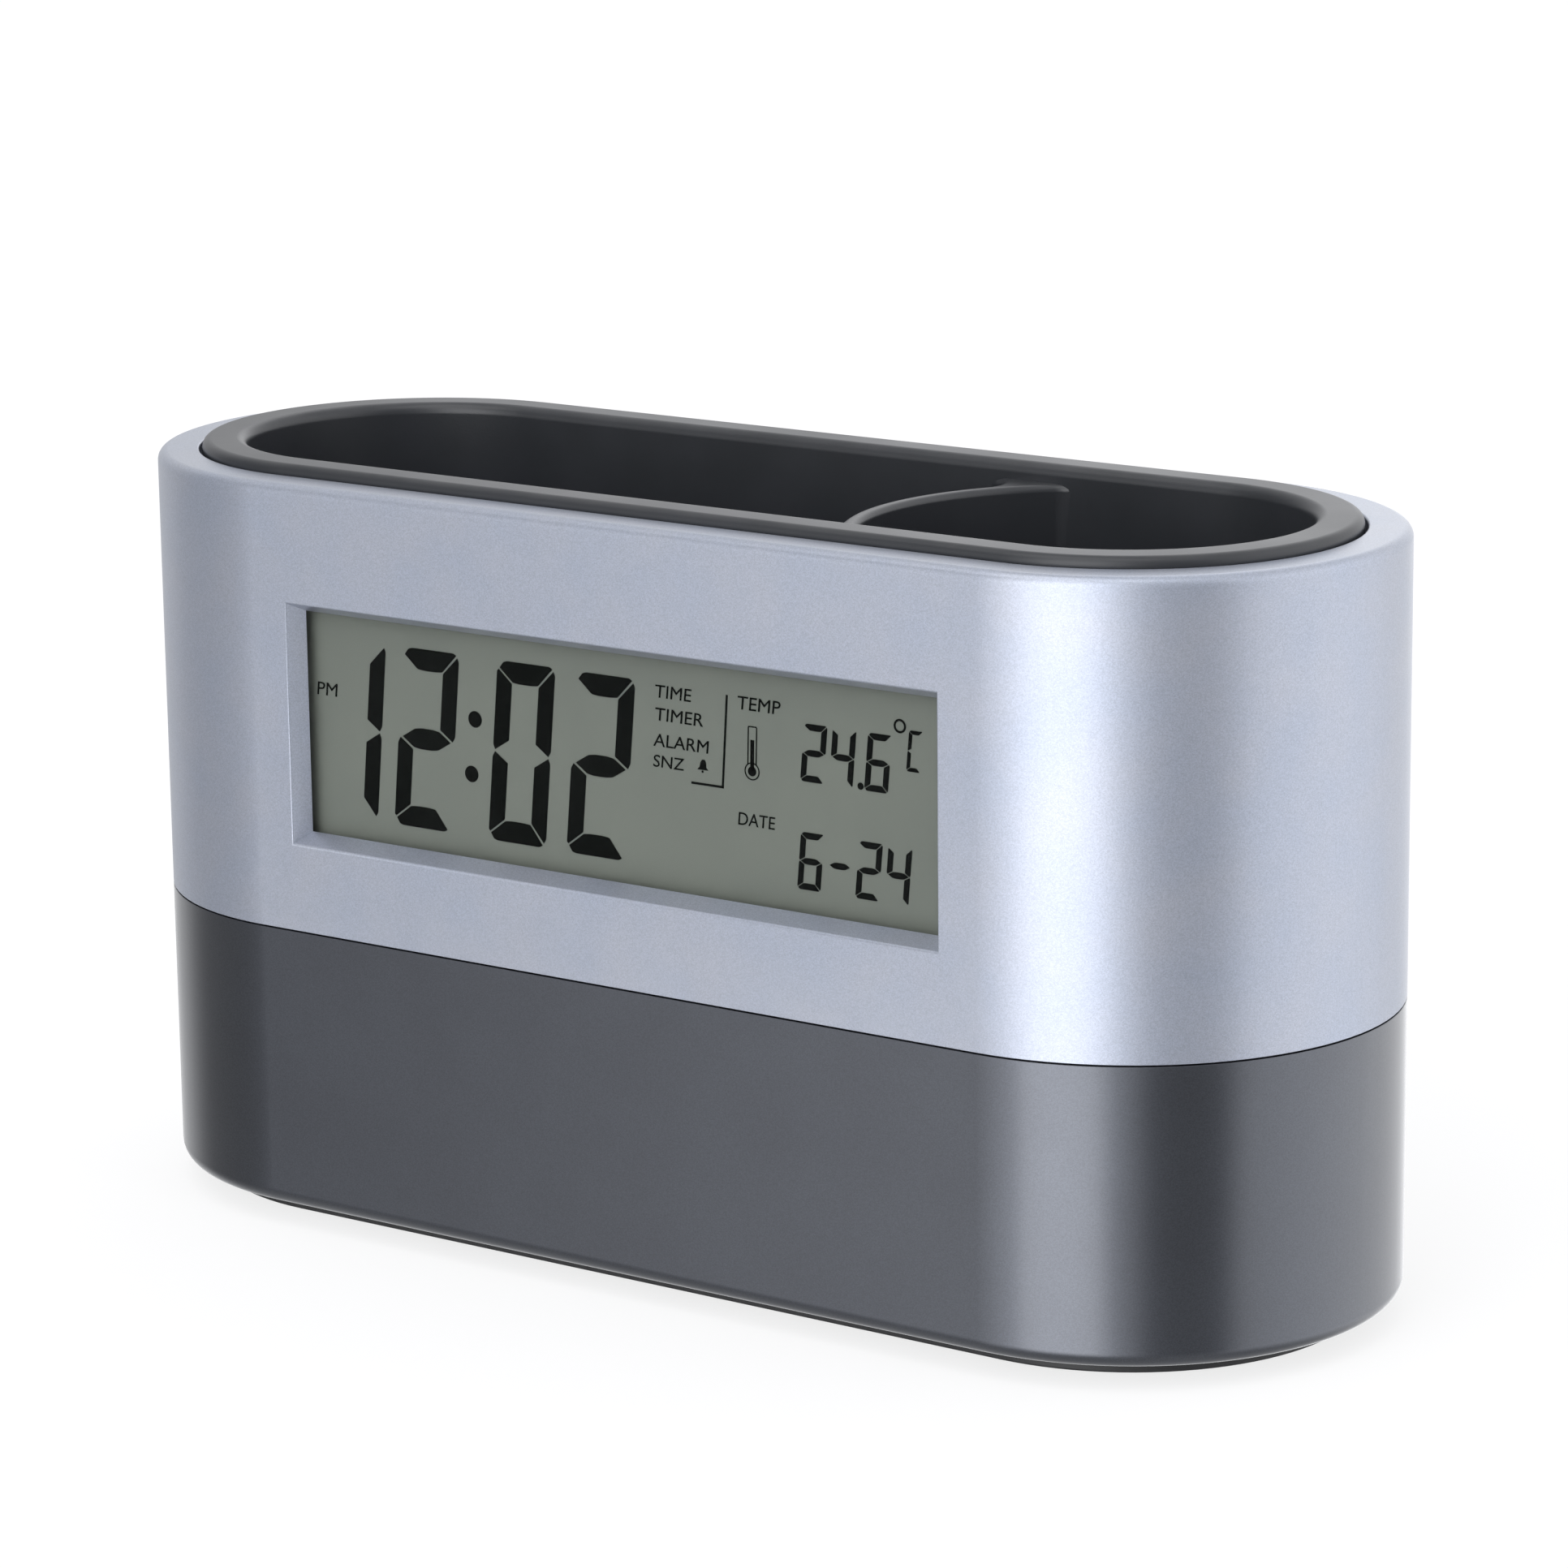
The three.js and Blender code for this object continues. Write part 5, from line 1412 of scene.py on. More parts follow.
@dataclass
class Screw:
    """A pan-head screw with a cross recess, on the place of its CAD node."""

    axis: Axis
    way: int
    head_radius: float
    head_height: float
    shank_radius: float
    pitch: float = 0.6
    thread_depth: float = 0.16
    head_edge: float = 0.45
    neck: float = 0.5
    tip: float = 0.8
    tip_share: float = 0.45
    recess_reach: float = 0.62
    recess_width: float = 0.22

    @classmethod
    def small(cls, way: int) -> "Screw":
        """A small screw along Y, as the boards and the tray have."""
        return cls(Axis.Y, way, head_radius=2.1, head_height=1.0, shank_radius=1.0)

    def profile(self, start: float, length: float) -> Line:
        """The turned outline, from the head's face to the tip."""
        edge = self.head_height * self.head_edge
        flat, shank = self.head_radius - edge, self.shank_radius
        points = [(0, 0), (flat, 0)]
        for turn in (30, 60, 90):
            a = math.radians(turn)
            points.append((flat + edge * math.sin(a), edge * (1 - math.cos(a))))
        points += [(self.head_radius, self.head_height), (shank, self.head_height)]
        along = self.head_height + self.neck
        while along + self.pitch < length - self.tip:
            points += [(shank, along), (shank - self.thread_depth, along + self.pitch / 2)]
            along += self.pitch
        points += [(shank, along), (shank * self.tip_share, length), (0, length)]
        return Line.through([(radius, start + self.way * place) for radius, place in points])

    def build(self, shop: Workshop, nodes: str, marks: Sequence[str]) -> None:
        """Turn a screw, cut its recess, and keep it and its copies.

        Args:
            shop: where the screws are dressed.
            nodes: the name of the screws' CAD nodes, with {} for the mark.
            marks: what the nodes' names differ by.
        """
        node = nodes.format(marks[0])
        low, high = (corner[self.axis.value] for corner in span(node))
        start, (first, second) = low if self.way > 0 else high, centre_of(node, self.axis)
        outline = self.profile(start, high - low)
        piece = lathe(f"{node}_turned", self.axis, (first, second), outline, 28)
        reach, width = self.head_radius * self.recess_reach, self.head_radius * self.recess_width
        depths = sorted((start + self.way * self.head_height * 0.6, start - self.way))
        for a, b in ((reach, width), (width, reach)):
            corner = spread(self.axis, depths[0], first - a, second - b) / MM
            other = spread(self.axis, depths[1], first + a, second + b) / MM
            cut(piece, block("recess", tuple(corner), tuple(other)))
        for mark, screw in zip(marks, list(repeated(piece, nodes, marks))):
            shop.keep(screw, Slot.STEEL, nodes.format(mark))


@dataclass
class Plinth(SubAssembly):
    """The base plate with its feet, screws and sounder."""

    inset: float = 5.0
    thickness: float = 1.8
    edge: float = 0.35
    rib_inset: float = 9.3
    rib_thickness: float = 1.6
    rib_height: float = 2.0
    pad_radius: float = 5.2
    pad_height: float = 3.4
    head_pocket: float = 3.1
    head_depth: float = 2.5
    shank_hole: float = 1.6
    seat_gap: float = 0.3
    seat_depth: float = 0.8
    sound_radius: float = 1.0
    sound_ring: float = 5.0
    sound_count: int = 6
    buzzer_wall: float = 2.0
    buzzer_height: float = 3.2
    ceramic_radius: float = 9.0
    foot_sole: tuple[Pair, ...] = (
        (0, 0.15), (1.6, 0.15), (1.75, 0), (2.6, 0), (2.7, 0.25), (3.1, 0.25), (3.2, 0)
    )

    def build(self) -> None:
        """Model the plate and what it carries."""
        z0 = span("base_plate")[0].z
        z1 = z0 + self.thickness
        inner = self.rib_inset + self.rib_thickness
        top = z1 + self.rib_height
        rib = Line(self.rib_inset, z1 - 0.5).to(self.rib_inset, top - 0.3)
        rib.to(self.rib_inset + 0.3, top).to(inner, top).to(inner, z1 - 0.5)
        e, inset = self.edge, self.inset
        line = Line(self.form.radius, z0).to(inset + e, z0).arc(inset + e, z0 + e, e, 270, 180, 4)
        line.to(inset, z1).to(self.form.radius, z1)
        piece = self.form.shell("plinth_plate", line, closed=False)
        add(piece, self.form.shell("plinth_rib", rib))
        centres = [centre_of(f"case_screw_{corner}", Axis.Z) for corner in CORNERS]
        for at in centres:
            add(piece, rod(Axis.Z, at, self.pad_radius, z1 - 0.5, z1 + self.pad_height))
        add(piece, self.buzzer_seat(z1))
        for at in centres:
            pocket = rod(Axis.Z, at, self.head_pocket, z0 - 1, z0 + self.head_depth)
            hole = rod(Axis.Z, at, self.shank_hole, z0 - 1, z1 + self.pad_height + 1)
            cut(piece, pocket, hole)
        feet = list(repeated(self.foot(f"foot_{CORNERS[0]}"), "foot_{}", CORNERS))
        for node, foot in zip((f"foot_{corner}" for corner in CORNERS), feet):
            self.shop.keep(foot, Slot.RUBBER, node)
            radius = radius_of(node) + self.seat_gap
            cut(piece, rod(Axis.Z, centre_of(node, Axis.Z), radius, z0 - 1, z0 + self.seat_depth))
        cut(piece, join("sound_tools", *self.sound_holes(z0, z1)))
        self.shop.keep(piece, Slot.BLACK, "base_plate")
        screw = Screw(Axis.Z, 1, 2.8, 2.2, 1.5, pitch=0.9, thread_depth=0.25)
        screw.build(self.shop, "case_screw_{}", CORNERS)
        self.buzzer()

    def foot(self, node: str) -> Piece:
        """One rubber foot, with a ring groove in its sole."""
        low, high = span(node)
        radius = radius_of(node)
        line = Line.through([(r, low.z + rise) for r, rise in self.foot_sole])
        line.arc(radius - 0.7, low.z + 0.3, 0.3, -90, 0, 4)
        line.to(radius, low.z + 0.7).to(radius, high.z - 0.1).to(radius - 0.1, high.z).to(0, high.z)
        return lathe(f"{node}_pad", Axis.Z, centre_of(node, Axis.Z), line, 48)

    def buzzer_seat(self, z1: float) -> Piece:
        """The round wall that holds the disc."""
        radius = radius_of("buzzer_disc")
        seat, inner = radius + self.seat_gap, radius - self.buzzer_wall
        outer = seat + self.buzzer_wall
        shoulder = z1 + self.buzzer_height
        line = Line(inner, z1 - 0.5).to(outer, z1 - 0.5).to(outer, shoulder + 0.7)
        line.to(outer - 0.2, shoulder + 0.9).to(seat, shoulder + 0.9)
        line.to(seat, shoulder).to(inner, shoulder).to(inner, z1 - 0.5)
        return lathe("buzzer_wall", Axis.Z, centre_of("buzzer_disc", Axis.Z), line, 64)

    def sound_holes(self, z0: float, z1: float) -> list[Piece]:
        """The tools for the holes under the disc."""
        x, y = centre_of("buzzer_disc", Axis.Z)
        ring = Line(x, y).arc(x, y, self.sound_ring, 0, 360, self.sound_count).points[:-1]
        return [rod(Axis.Z, place, self.sound_radius, z0 - 1, z1 + 1, 20) for place in ring]

    def buzzer(self) -> None:
        """The brass disc and the ceramic on it."""
        low, high = span("buzzer_disc")
        at, radius = centre_of("buzzer_disc", Axis.Z), radius_of("buzzer_disc")
        top = (low.z + high.z) / 2
        plate = Line(0, low.z).to(radius - 0.05, low.z).to(radius, low.z + 0.05)
        plate.to(radius, top - 0.05).to(radius - 0.05, top).to(0, top)
        self.shop.keep(lathe("buzzer_plate", Axis.Z, at, plate, 64), Slot.BRASS, "buzzer_disc")
        r = self.ceramic_radius
        ceramic = Line(0, top).to(r, top).to(r, high.z - 0.06).to(r - 0.06, high.z).to(0, high.z)
        self.shop.keep(lathe("buzzer_ceramic", Axis.Z, at, ceramic, 64), Slot.CERAMIC)


class Bar(Enum):
    """The seven bars of a digit."""

    TOP = "top"
    RIGHT_HIGH = "right_high"
    RIGHT_LOW = "right_low"
    BOTTOM = "bottom"
    LEFT_LOW = "left_low"
    LEFT_HIGH = "left_high"
    MIDDLE = "middle"


DIGIT_BARS: dict[str, tuple[Bar, ...]] = {
    "0": (Bar.TOP, Bar.RIGHT_HIGH, Bar.RIGHT_LOW, Bar.BOTTOM, Bar.LEFT_LOW, Bar.LEFT_HIGH),
    "1": (Bar.RIGHT_HIGH, Bar.RIGHT_LOW),
    "2": (Bar.TOP, Bar.RIGHT_HIGH, Bar.MIDDLE, Bar.LEFT_LOW, Bar.BOTTOM),
    "4": (Bar.LEFT_HIGH, Bar.MIDDLE, Bar.RIGHT_HIGH, Bar.RIGHT_LOW),
    "6": (Bar.TOP, Bar.LEFT_HIGH, Bar.LEFT_LOW, Bar.BOTTOM, Bar.RIGHT_LOW, Bar.MIDDLE),
    "C": (Bar.TOP, Bar.LEFT_HIGH, Bar.LEFT_LOW, Bar.BOTTOM),
    "-": (Bar.MIDDLE,),
}


@dataclass
class DigitStyle:
    """The shape of a seven-bar digit, in millimetres."""

    width: float
    height: float
    upright: float
    level: float
    gap: float

    def outline(self, bar: Bar) -> list[Pair]:
        """One bar's outline from the digit's lower left corner."""
        w, h, t, b, g = self.width, self.height, self.upright, self.level, self.gap
        m = h / 2
        if bar is Bar.TOP:
            return [
                (0.10 * t + g, h - 0.34 * b), (0.38 * t, h - 0.06 * b), (0.62 * t, h),
                (w - 0.40 * t, h), (w - 0.14 * t - g, h - 0.10 * b), (w - t - g, h - b + g / 2),
                (w - 1.5 * t, h - 1.04 * b + g / 2), (1.5 * t, h - 1.04 * b + g / 2),
                (t + g, h - b + g / 2),
            ]
        if bar is Bar.RIGHT_HIGH:
            return [
                (w - t, h - b - g), (w - 0.12 * t, h - 0.16 * b - g), (w, h - 0.4 * b),
                (w, m + 0.3 * b), (w - 0.14 * t, m + g), (w - t, m + b / 2 + g),
            ]
        if bar is Bar.LEFT_HIGH:
            return [
                (t, h - b - g), (0.1 * t, h - 0.34 * b - 1.5 * g), (0, h - 0.5 * b),
                (0, m + 0.3 * b), (0.14 * t, m + g), (t, m + b / 2 + g),
            ]
        if bar is Bar.MIDDLE:
            left = [(0.22 * t + g, m), (t + g, m + 0.44 * b), (1.5 * t, m + b / 2)]
            high = left + [(w - u, v) for u, v in reversed(left)]
            return high + [(u, h - v) for u, v in reversed(high[1:-1])]
        above = {Bar.BOTTOM: Bar.TOP, Bar.RIGHT_LOW: Bar.RIGHT_HIGH, Bar.LEFT_LOW: Bar.LEFT_HIGH}[bar]
        return [(u, h - v) for u, v in self.outline(above)]


@dataclass
class Ink:
    """Marks on the front of the display glass: digits, words and small drawings."""

    front: float
    slant: float = 0.093
    thickness: float = 0.04
    gap: float = 0.02

    def plate(self, points: list[Pair]) -> Piece:
        """A thin flat mark with an outline of (x, z) points."""
        behind = self.front - self.gap
        return prism("mark", Axis.Y, Line.through(points), behind, behind - self.thickness)

    def digits(self, style: DigitStyle, places: Row, z: float) -> list[Piece]:
        """A row of digits.

        Args:
            style: the digits' shape.
            places: each digit with its left edge at mid-height.
            z: their lower edge.

        Returns:
            One plate a bar.
        """
        plates = []
        for symbol, x in places:
            for points in (style.outline(bar) for bar in DIGIT_BARS[symbol]):
                lean = [(x + u + self.slant * (v - style.height / 2), z + v) for u, v in points]
                plates.append(self.plate(lean))
        return plates

    def line(self, start: Pair, end: Pair, width: float) -> Piece:
        """A straight stroke.

        Args:
            start: one end, as (x, z).
            end: the other end.
            width: across the stroke.

        Returns:
            The stroke as a thin plate.
        """
        a, b = Vector(start), Vector(end)
        way = (b - a).normalized() * width / 2
        side = Vector((-way.y, way.x))
        return self.plate([tuple(a + side), tuple(b + side), tuple(b - side), tuple(a - side)])

    def ring(self, x: float, z: float, radius: float, width: float) -> Piece:
        """A thin round ring.

        Args:
            x: its centre.
            z: its centre.
            radius: to the middle of its line.
            width: across its line.

        Returns:
            The ring as a thin turned plate.
        """
        behind = self.front - self.gap
        ahead = behind - self.thickness
        inner, outer = radius - width / 2, radius + width / 2
        line = Line(inner, behind).to(outer, behind).to(outer, ahead).to(inner, ahead).to(inner, behind)
        return lathe("mark", Axis.Y, (x, z), line, 24)

    def dot(self, x: float, z: float, radius: float) -> Piece:
        """A filled round mark."""
        return self.plate(disc(x, z, radius, 20).points[1:])

    def word(self, body: str, low: Pair, high: Pair) -> Piece:
        """A word that fills a box of (x, z) corners."""
        return lettering(body, low, high, self.front - self.gap, self.thickness, -1, self.slant)


def lettering(
    body: str,
    low: Pair,
    high: Pair,
    surface: float,
    thickness: float,
    way: int,
    slant: float = 0.0,
) -> Piece:
    """Flat letters on a surface that faces -Y or +Y.

    Args:
        body: the word.
        low: lower left corner of the word as it is read, as (x, z).
        high: upper right corner of the word as it is read, as (x, z).
        surface: the surface's Y.
        thickness: how far the letters stand off.
        way: -1 for letters that are read from -Y, 1 for letters read from +Y.
        slant: how far they lean.

    Returns:
        The word as one mesh.
    """
    deselect()
    bpy.ops.object.text_add()
    curve = bpy.context.active_object.data
    curve.body = body
    curve.shear = slant
    curve.resolution_u = 4
    curve.extrude = 0.01
    bpy.ops.object.convert(target="MESH")
    piece = named(f"word_{body.lower()}")
    tidy_shell(piece)
    points = [point.co for point in piece.data.vertices]
    corner = Vector(min(p[i] for p in points) for i in range(3))
    size = Vector(max(p[i] for p in points) for i in range(3)) - corner
    with editing(piece, whole=True):
        bpy.ops.transform.translate(value=-corner)
    wide, tall = abs(high[0] - low[0]), high[1] - low[1]
    piece.scale = Vector((wide / size.x, tall / size.y, thickness / size.z)) * MM
    piece.rotation_euler = (math.pi / 2, 0, math.pi if way > 0 else 0)
    piece.location = Vector((low[0], surface, low[1])) * MM
    bpy.ops.object.transform_apply(location=True, rotation=True, scale=True)
    tidy_shell(piece)
    return piece


@dataclass
class Display(SubAssembly):
    """Lens, liquid-crystal glass with its marks, and what lies behind it."""

    edge: float = 0.12
    sheet_edge: float = 0.08
    frame_edge: float = 0.2
    strip_edge: float = 0.15
    contact_ledge: float = 1.8
    fit: float = 0.3
    digit_bottom: float = 56.15
    digit_left: Row = (("1", -47.32), ("2", -35.40), ("0", -20.08), ("2", -7.62))
    colon: tuple[Pair, ...] = ((-22.86, 71.5), (-23.62, 64.31))
    colon_radius: float = 1.08
    words: tuple[tuple[str, float, float, float, float], ...] = (
        ("PM", -48.75, 71.75, -45.3, 73.45),
        ("TIME", 5.68, 77.75, 11.2, 79.35),
        ("TIMER", 5.62, 74.85, 12.85, 76.45),
        ("ALARM", 5.2, 71.55, 13.74, 73.15),
        ("SNZ", 5.15, 68.9, 9.95, 70.45),
        ("TEMP", 18.2, 77.75, 24.6, 79.4),
        ("DATE", 18.0, 63.2, 23.6, 64.8),
    )
    small_low: float = 69.9
    small_left: Row = (("2", 27.73), ("4", 31.98), ("6", 37.15))
    point: Corner = (36.3, 70.35, 0.45)
    unit_low: float = 73.05
    unit_left: Row = (("C", 43.2),)
    degree_ring: tuple[float, ...] = (42.08, 78.48, 0.75, 0.28)
    date_low: float = 56.3
    date_left: Row = (("6", 27.1), ("-", 31.4), ("2", 35.7), ("4", 40.0))
    rule_width: float = 0.3
    rule_ends: tuple[tuple[Pair, Pair], ...] = (
        ((16.55, 79.3), (15.74, 67.6)),
        ((15.9, 67.6), (10.97, 67.6)),
    )
    stem_half: float = 0.62
    stem_top: Pair = (20.35, 75.7)
    bulb: Pair = (20.2, 70.15)
    bulb_radius: float = 1.05
    outline_width: float = 0.16
    bell_place: Pair = (12.7, 69.1)

    def build(self) -> None:
        """Model the whole display stack."""
        lens = filled("lens_window", "display_lens", self.edge)
        self.shop.keep(lens, Slot.CLEAR, "display_lens", finish=CLEAR_PLASTIC)
        self.glass()
        self.marks()
        film = filled("reflector_film", "lcd_reflector", self.sheet_edge)
        self.shop.keep(film, Slot.REFLECTOR, "lcd_reflector")
        self.holder()
        strip = filled("zebra_strip_upper_rubber", "zebra_strip_upper", self.strip_edge)
        marks = ("upper", "lower")
        for mark, piece in zip(marks, list(repeated(strip, "zebra_strip_{}", marks))):
            self.shop.keep(piece, Slot.ZEBRA, f"zebra_strip_{mark}")

    def glass(self) -> None:
        """The two glass sheets, the back one short of the contact ledges."""
        low, high = span("lcd_panel")
        middle, ledge = (low.y + high.y) / 2, self.contact_ledge
        piece = block("glass_sheets", tuple(low), (high.x, middle, high.z), self.sheet_edge)
        back = (low.x, middle - 0.1, low.z + ledge), (high.x, high.y, high.z - ledge)
        add(piece, block("back_sheet", *back, self.sheet_edge))
        self.shop.keep(piece, Slot.GLASS, "lcd_panel")

    def marks(self) -> None:
        """The digits, words and drawings that the display shows."""
        ink = Ink(span("lcd_panel")[0].y)
        big = DigitStyle(width=9.15, height=23.5, upright=2.45, level=2.75, gap=0.13)
        small = DigitStyle(width=3.45, height=7.25, upright=0.82, level=0.82, gap=0.05)
        unit = DigitStyle(width=2.0, height=5.1, upright=0.5, level=0.5, gap=0.04)
        dots = [ink.dot(*place, self.colon_radius) for place in self.colon]
        self.keep("time_digits", ink.digits(big, self.digit_left, self.digit_bottom) + dots)
        degree = ink.digits(unit, self.unit_left, self.unit_low) + [ink.ring(*self.degree_ring)]
        figures = ink.digits(small, self.small_left, self.small_low) + [ink.dot(*self.point)]
        self.keep("temperature_digits", figures + degree)
        self.keep("date_digits", ink.digits(small, self.date_left, self.date_low))
        self.keep("display_words", [ink.word(body, box[:2], box[2:]) for body, *box in self.words])
        rules = [ink.line(*ends, self.rule_width) for ends in self.rule_ends]
        self.keep("display_lines", rules + self.thermometer(ink) + self.bell(ink))

    def thermometer(self, ink: Ink) -> list[Piece]:
        """A small thermometer: an outlined stem and bulb with a filled column."""
        x, top = self.stem_top
        foot_x, foot = self.bulb
        half, width = self.stem_half, self.outline_width
        sides = [ink.line((x + way, top), (foot_x + way, foot + 0.8), width) for way in (-half, half)]
        cap = ink.line((x - half, top + 0.05), (x + half, top + 0.05), width)
        column = ink.line((20.3, 74.1), self.bulb, 0.55)
        return [*sides, cap, column, ink.dot(*self.bulb, 0.62), ink.ring(*self.bulb, self.bulb_radius, width)]

    def bell(self, ink: Ink) -> list[Piece]:
        """A small bell."""
        x, z = self.bell_place
        left = [(-0.85, 0.3), (-0.5, 0.65), (-0.42, 1.25), (-0.2, 1.6)]
        outline = left + [(-u, v) for u, v in reversed(left)]
        dome = ink.plate([(x + ink.slant * v + u, z + v) for u, v in outline])
        return [dome, ink.dot(x, z + 0.08, 0.16)]

    def keep(self, name: str, plates: list[Piece]) -> None:
        """Join marks into one piece and dress it as ink."""
        self.shop.keep(join(name, *plates), Slot.BLACK, finish=DISPLAY_INK)

    def holder(self) -> None:
        """The frame round the glass."""
        (low, high), fit = span("lcd_panel"), self.fit
        piece = filled("glass_holder", "lcd_frame", self.frame_edge)
        front, rear = (corner.y for corner in span("lcd_frame"))
        inside = (low.x - fit, front - 1, low.z - fit), (high.x + fit, rear + 1, high.z + fit)
        cut(piece, block("holder_tool", *inside))
        self.shop.keep(piece, Slot.BLACK, "lcd_frame")


@dataclass
class Keys(SubAssembly):
    """The five buttons on the back, with their plungers, labels and switches."""

    flange_step: float = 1.0
    flange_thickness: float = 1.0
    flange_edge: float = 0.15
    cap_edge: float = 0.45
    dish: float = 0.12
    dish_rim: float = 0.5
    label_gap: float = 0.75
    label_height: float = 1.45
    label_thickness: float = 0.03
    letter_width: float = 1.25
    recess_depth: float = 0.8
    well_gap: float = 0.3
    well_depth: float = 1.4

    def build(self) -> None:
        """Model the buttons, labels, switches and plungers."""
        marks = list(KEY_BODIES)
        buttons = repeated(self.button(marks[0]), "button_{}", marks)
        plungers = repeated(self.plunger(marks[0]), "plunger_{}", marks)
        switches = repeated(self.switch(marks[0]), "tact_switch_{}", marks)
        labels = join("key_labels", *[self.label(key) for key in marks])
        for key, button, plunger, switch in list(zip(marks, buttons, plungers, switches)):
            body = KEY_BODIES[key]
            self.shop.keep(button, Slot.BLACK, f"button_{key}", finish=KEY_PLASTIC, body=body)
            self.shop.keep(plunger, Slot.BLACK, f"plunger_{key}", body=body)
            self.shop.keep(switch, Slot.BLACK, f"tact_switch_{key}")
        self.shop.keep(labels, Slot.DARK, finish=LABEL_INK)

    def button(self, key: str) -> Piece:
        """A pill-shaped button with a dished face and a flange that keeps it in."""
        node = f"button_{key}"
        low, high = span(node)
        length, height = high.x - low.x, high.z - low.z
        centre, step = centre_of(node, Axis.Y), 2 * self.flange_step
        cap = pill(*centre, length - step, height - step, 20)
        piece = prism(f"key_{key}", Axis.Y, cap, low.y + 0.2, high.y, self.cap_edge, 5)
        sink(piece, high.y, self.dish_rim, self.dish)
        rim, inner = pill(*centre, length, height, 20), low.y + self.flange_thickness
        add(piece, prism("flange", Axis.Y, rim, low.y, inner, self.flange_edge, 2))
        return piece

    def plunger(self, key: str) -> Piece:
        """The stem between a button and its switch."""
        node = f"plunger_{key}"
        (low, high), r = span(node), radius_of(node)
        line = Line(0, low.y).to(r, low.y).arc(r - 0.2, high.y - 0.2, 0.2, 0, 90, 3).to(0, high.y)
        return lathe(f"{node}_stem", Axis.Y, centre_of(node, Axis.Y), line, 32)

    def switch(self, key: str) -> Piece:
        """A tact switch: a square body under a riveted plate, with a well for its plunger."""
        node = f"tact_switch_{key}"
        rear, well = span(node)[1].y, radius_of(f"plunger_{key}") + self.well_gap
        piece = filled(f"{node}_body", node, 0.2)
        sink(piece, rear, 0.25, 0.08)
        cut(piece, rod(Axis.Y, centre_of(node, Axis.Y), well, rear - self.well_depth, rear + 1))
        return piece

    def label(self, key: str) -> Piece:
        """A generic function word under a button, on the floor of the recess."""
        x = middle_of(f"button_{key}").x
        top = span(f"button_{key}")[0].z + self.flange_step - self.label_gap
        half = self.letter_width * len(key) / 2
        corners = (x + half, top - self.label_height), (x - half, top)
        return lettering(key.upper(), *corners, self.form.radius - self.recess_depth, self.label_thickness, 1)


class Route:
    """A smooth line through stops, as centripetal Catmull-Rom curves."""

    def __init__(self, stops: list[Corner]) -> None:
        """Keep the stops with one more beyond each end."""
        inner = [Vector(stop) for stop in stops]
        self.stops = [2 * inner[0] - inner[1], *inner, 2 * inner[-1] - inner[-2]]

    def points(self, steps: int = 8) -> list[Corner]:
        """Points along the line, a number of steps between two stops."""
        found = []
        for i in range(len(self.stops) - 3):
            corners = self.stops[i:i + 4]
            knots = [0.0]
            for a, b in zip(corners, corners[1:]):
                knots.append(knots[-1] + math.sqrt((b - a).length))
            for k in range(steps):
                at = knots[1] + (knots[2] - knots[1]) * k / steps
                found.append(tuple(self.between(corners, knots, at)))
        found.append(tuple(self.stops[-2]))
        return found

    @staticmethod
    def between(corners: list[Vector], knots: list[float], at: float) -> Vector:
        """One point of a curve through four corners.

        Args:
            corners: the four corners.
            knots: the corners' places along the curve.
            at: the place wanted, between the middle two knots.

        Returns:
            The point.
        """

        def mix(first: Vector, second: Vector, start: float, end: float) -> Vector:
            """Blend two points by where the knot lies between their knots."""
            return first + (second - first) * ((at - start) / (end - start))

        early = mix(corners[0], corners[1], knots[0], knots[1])
        middle = mix(corners[1], corners[2], knots[1], knots[2])
        late = mix(corners[2], corners[3], knots[2], knots[3])
        first_half = mix(early, middle, knots[0], knots[2])
        second_half = mix(middle, late, knots[1], knots[3])
        return mix(first_half, second_half, knots[1], knots[2])


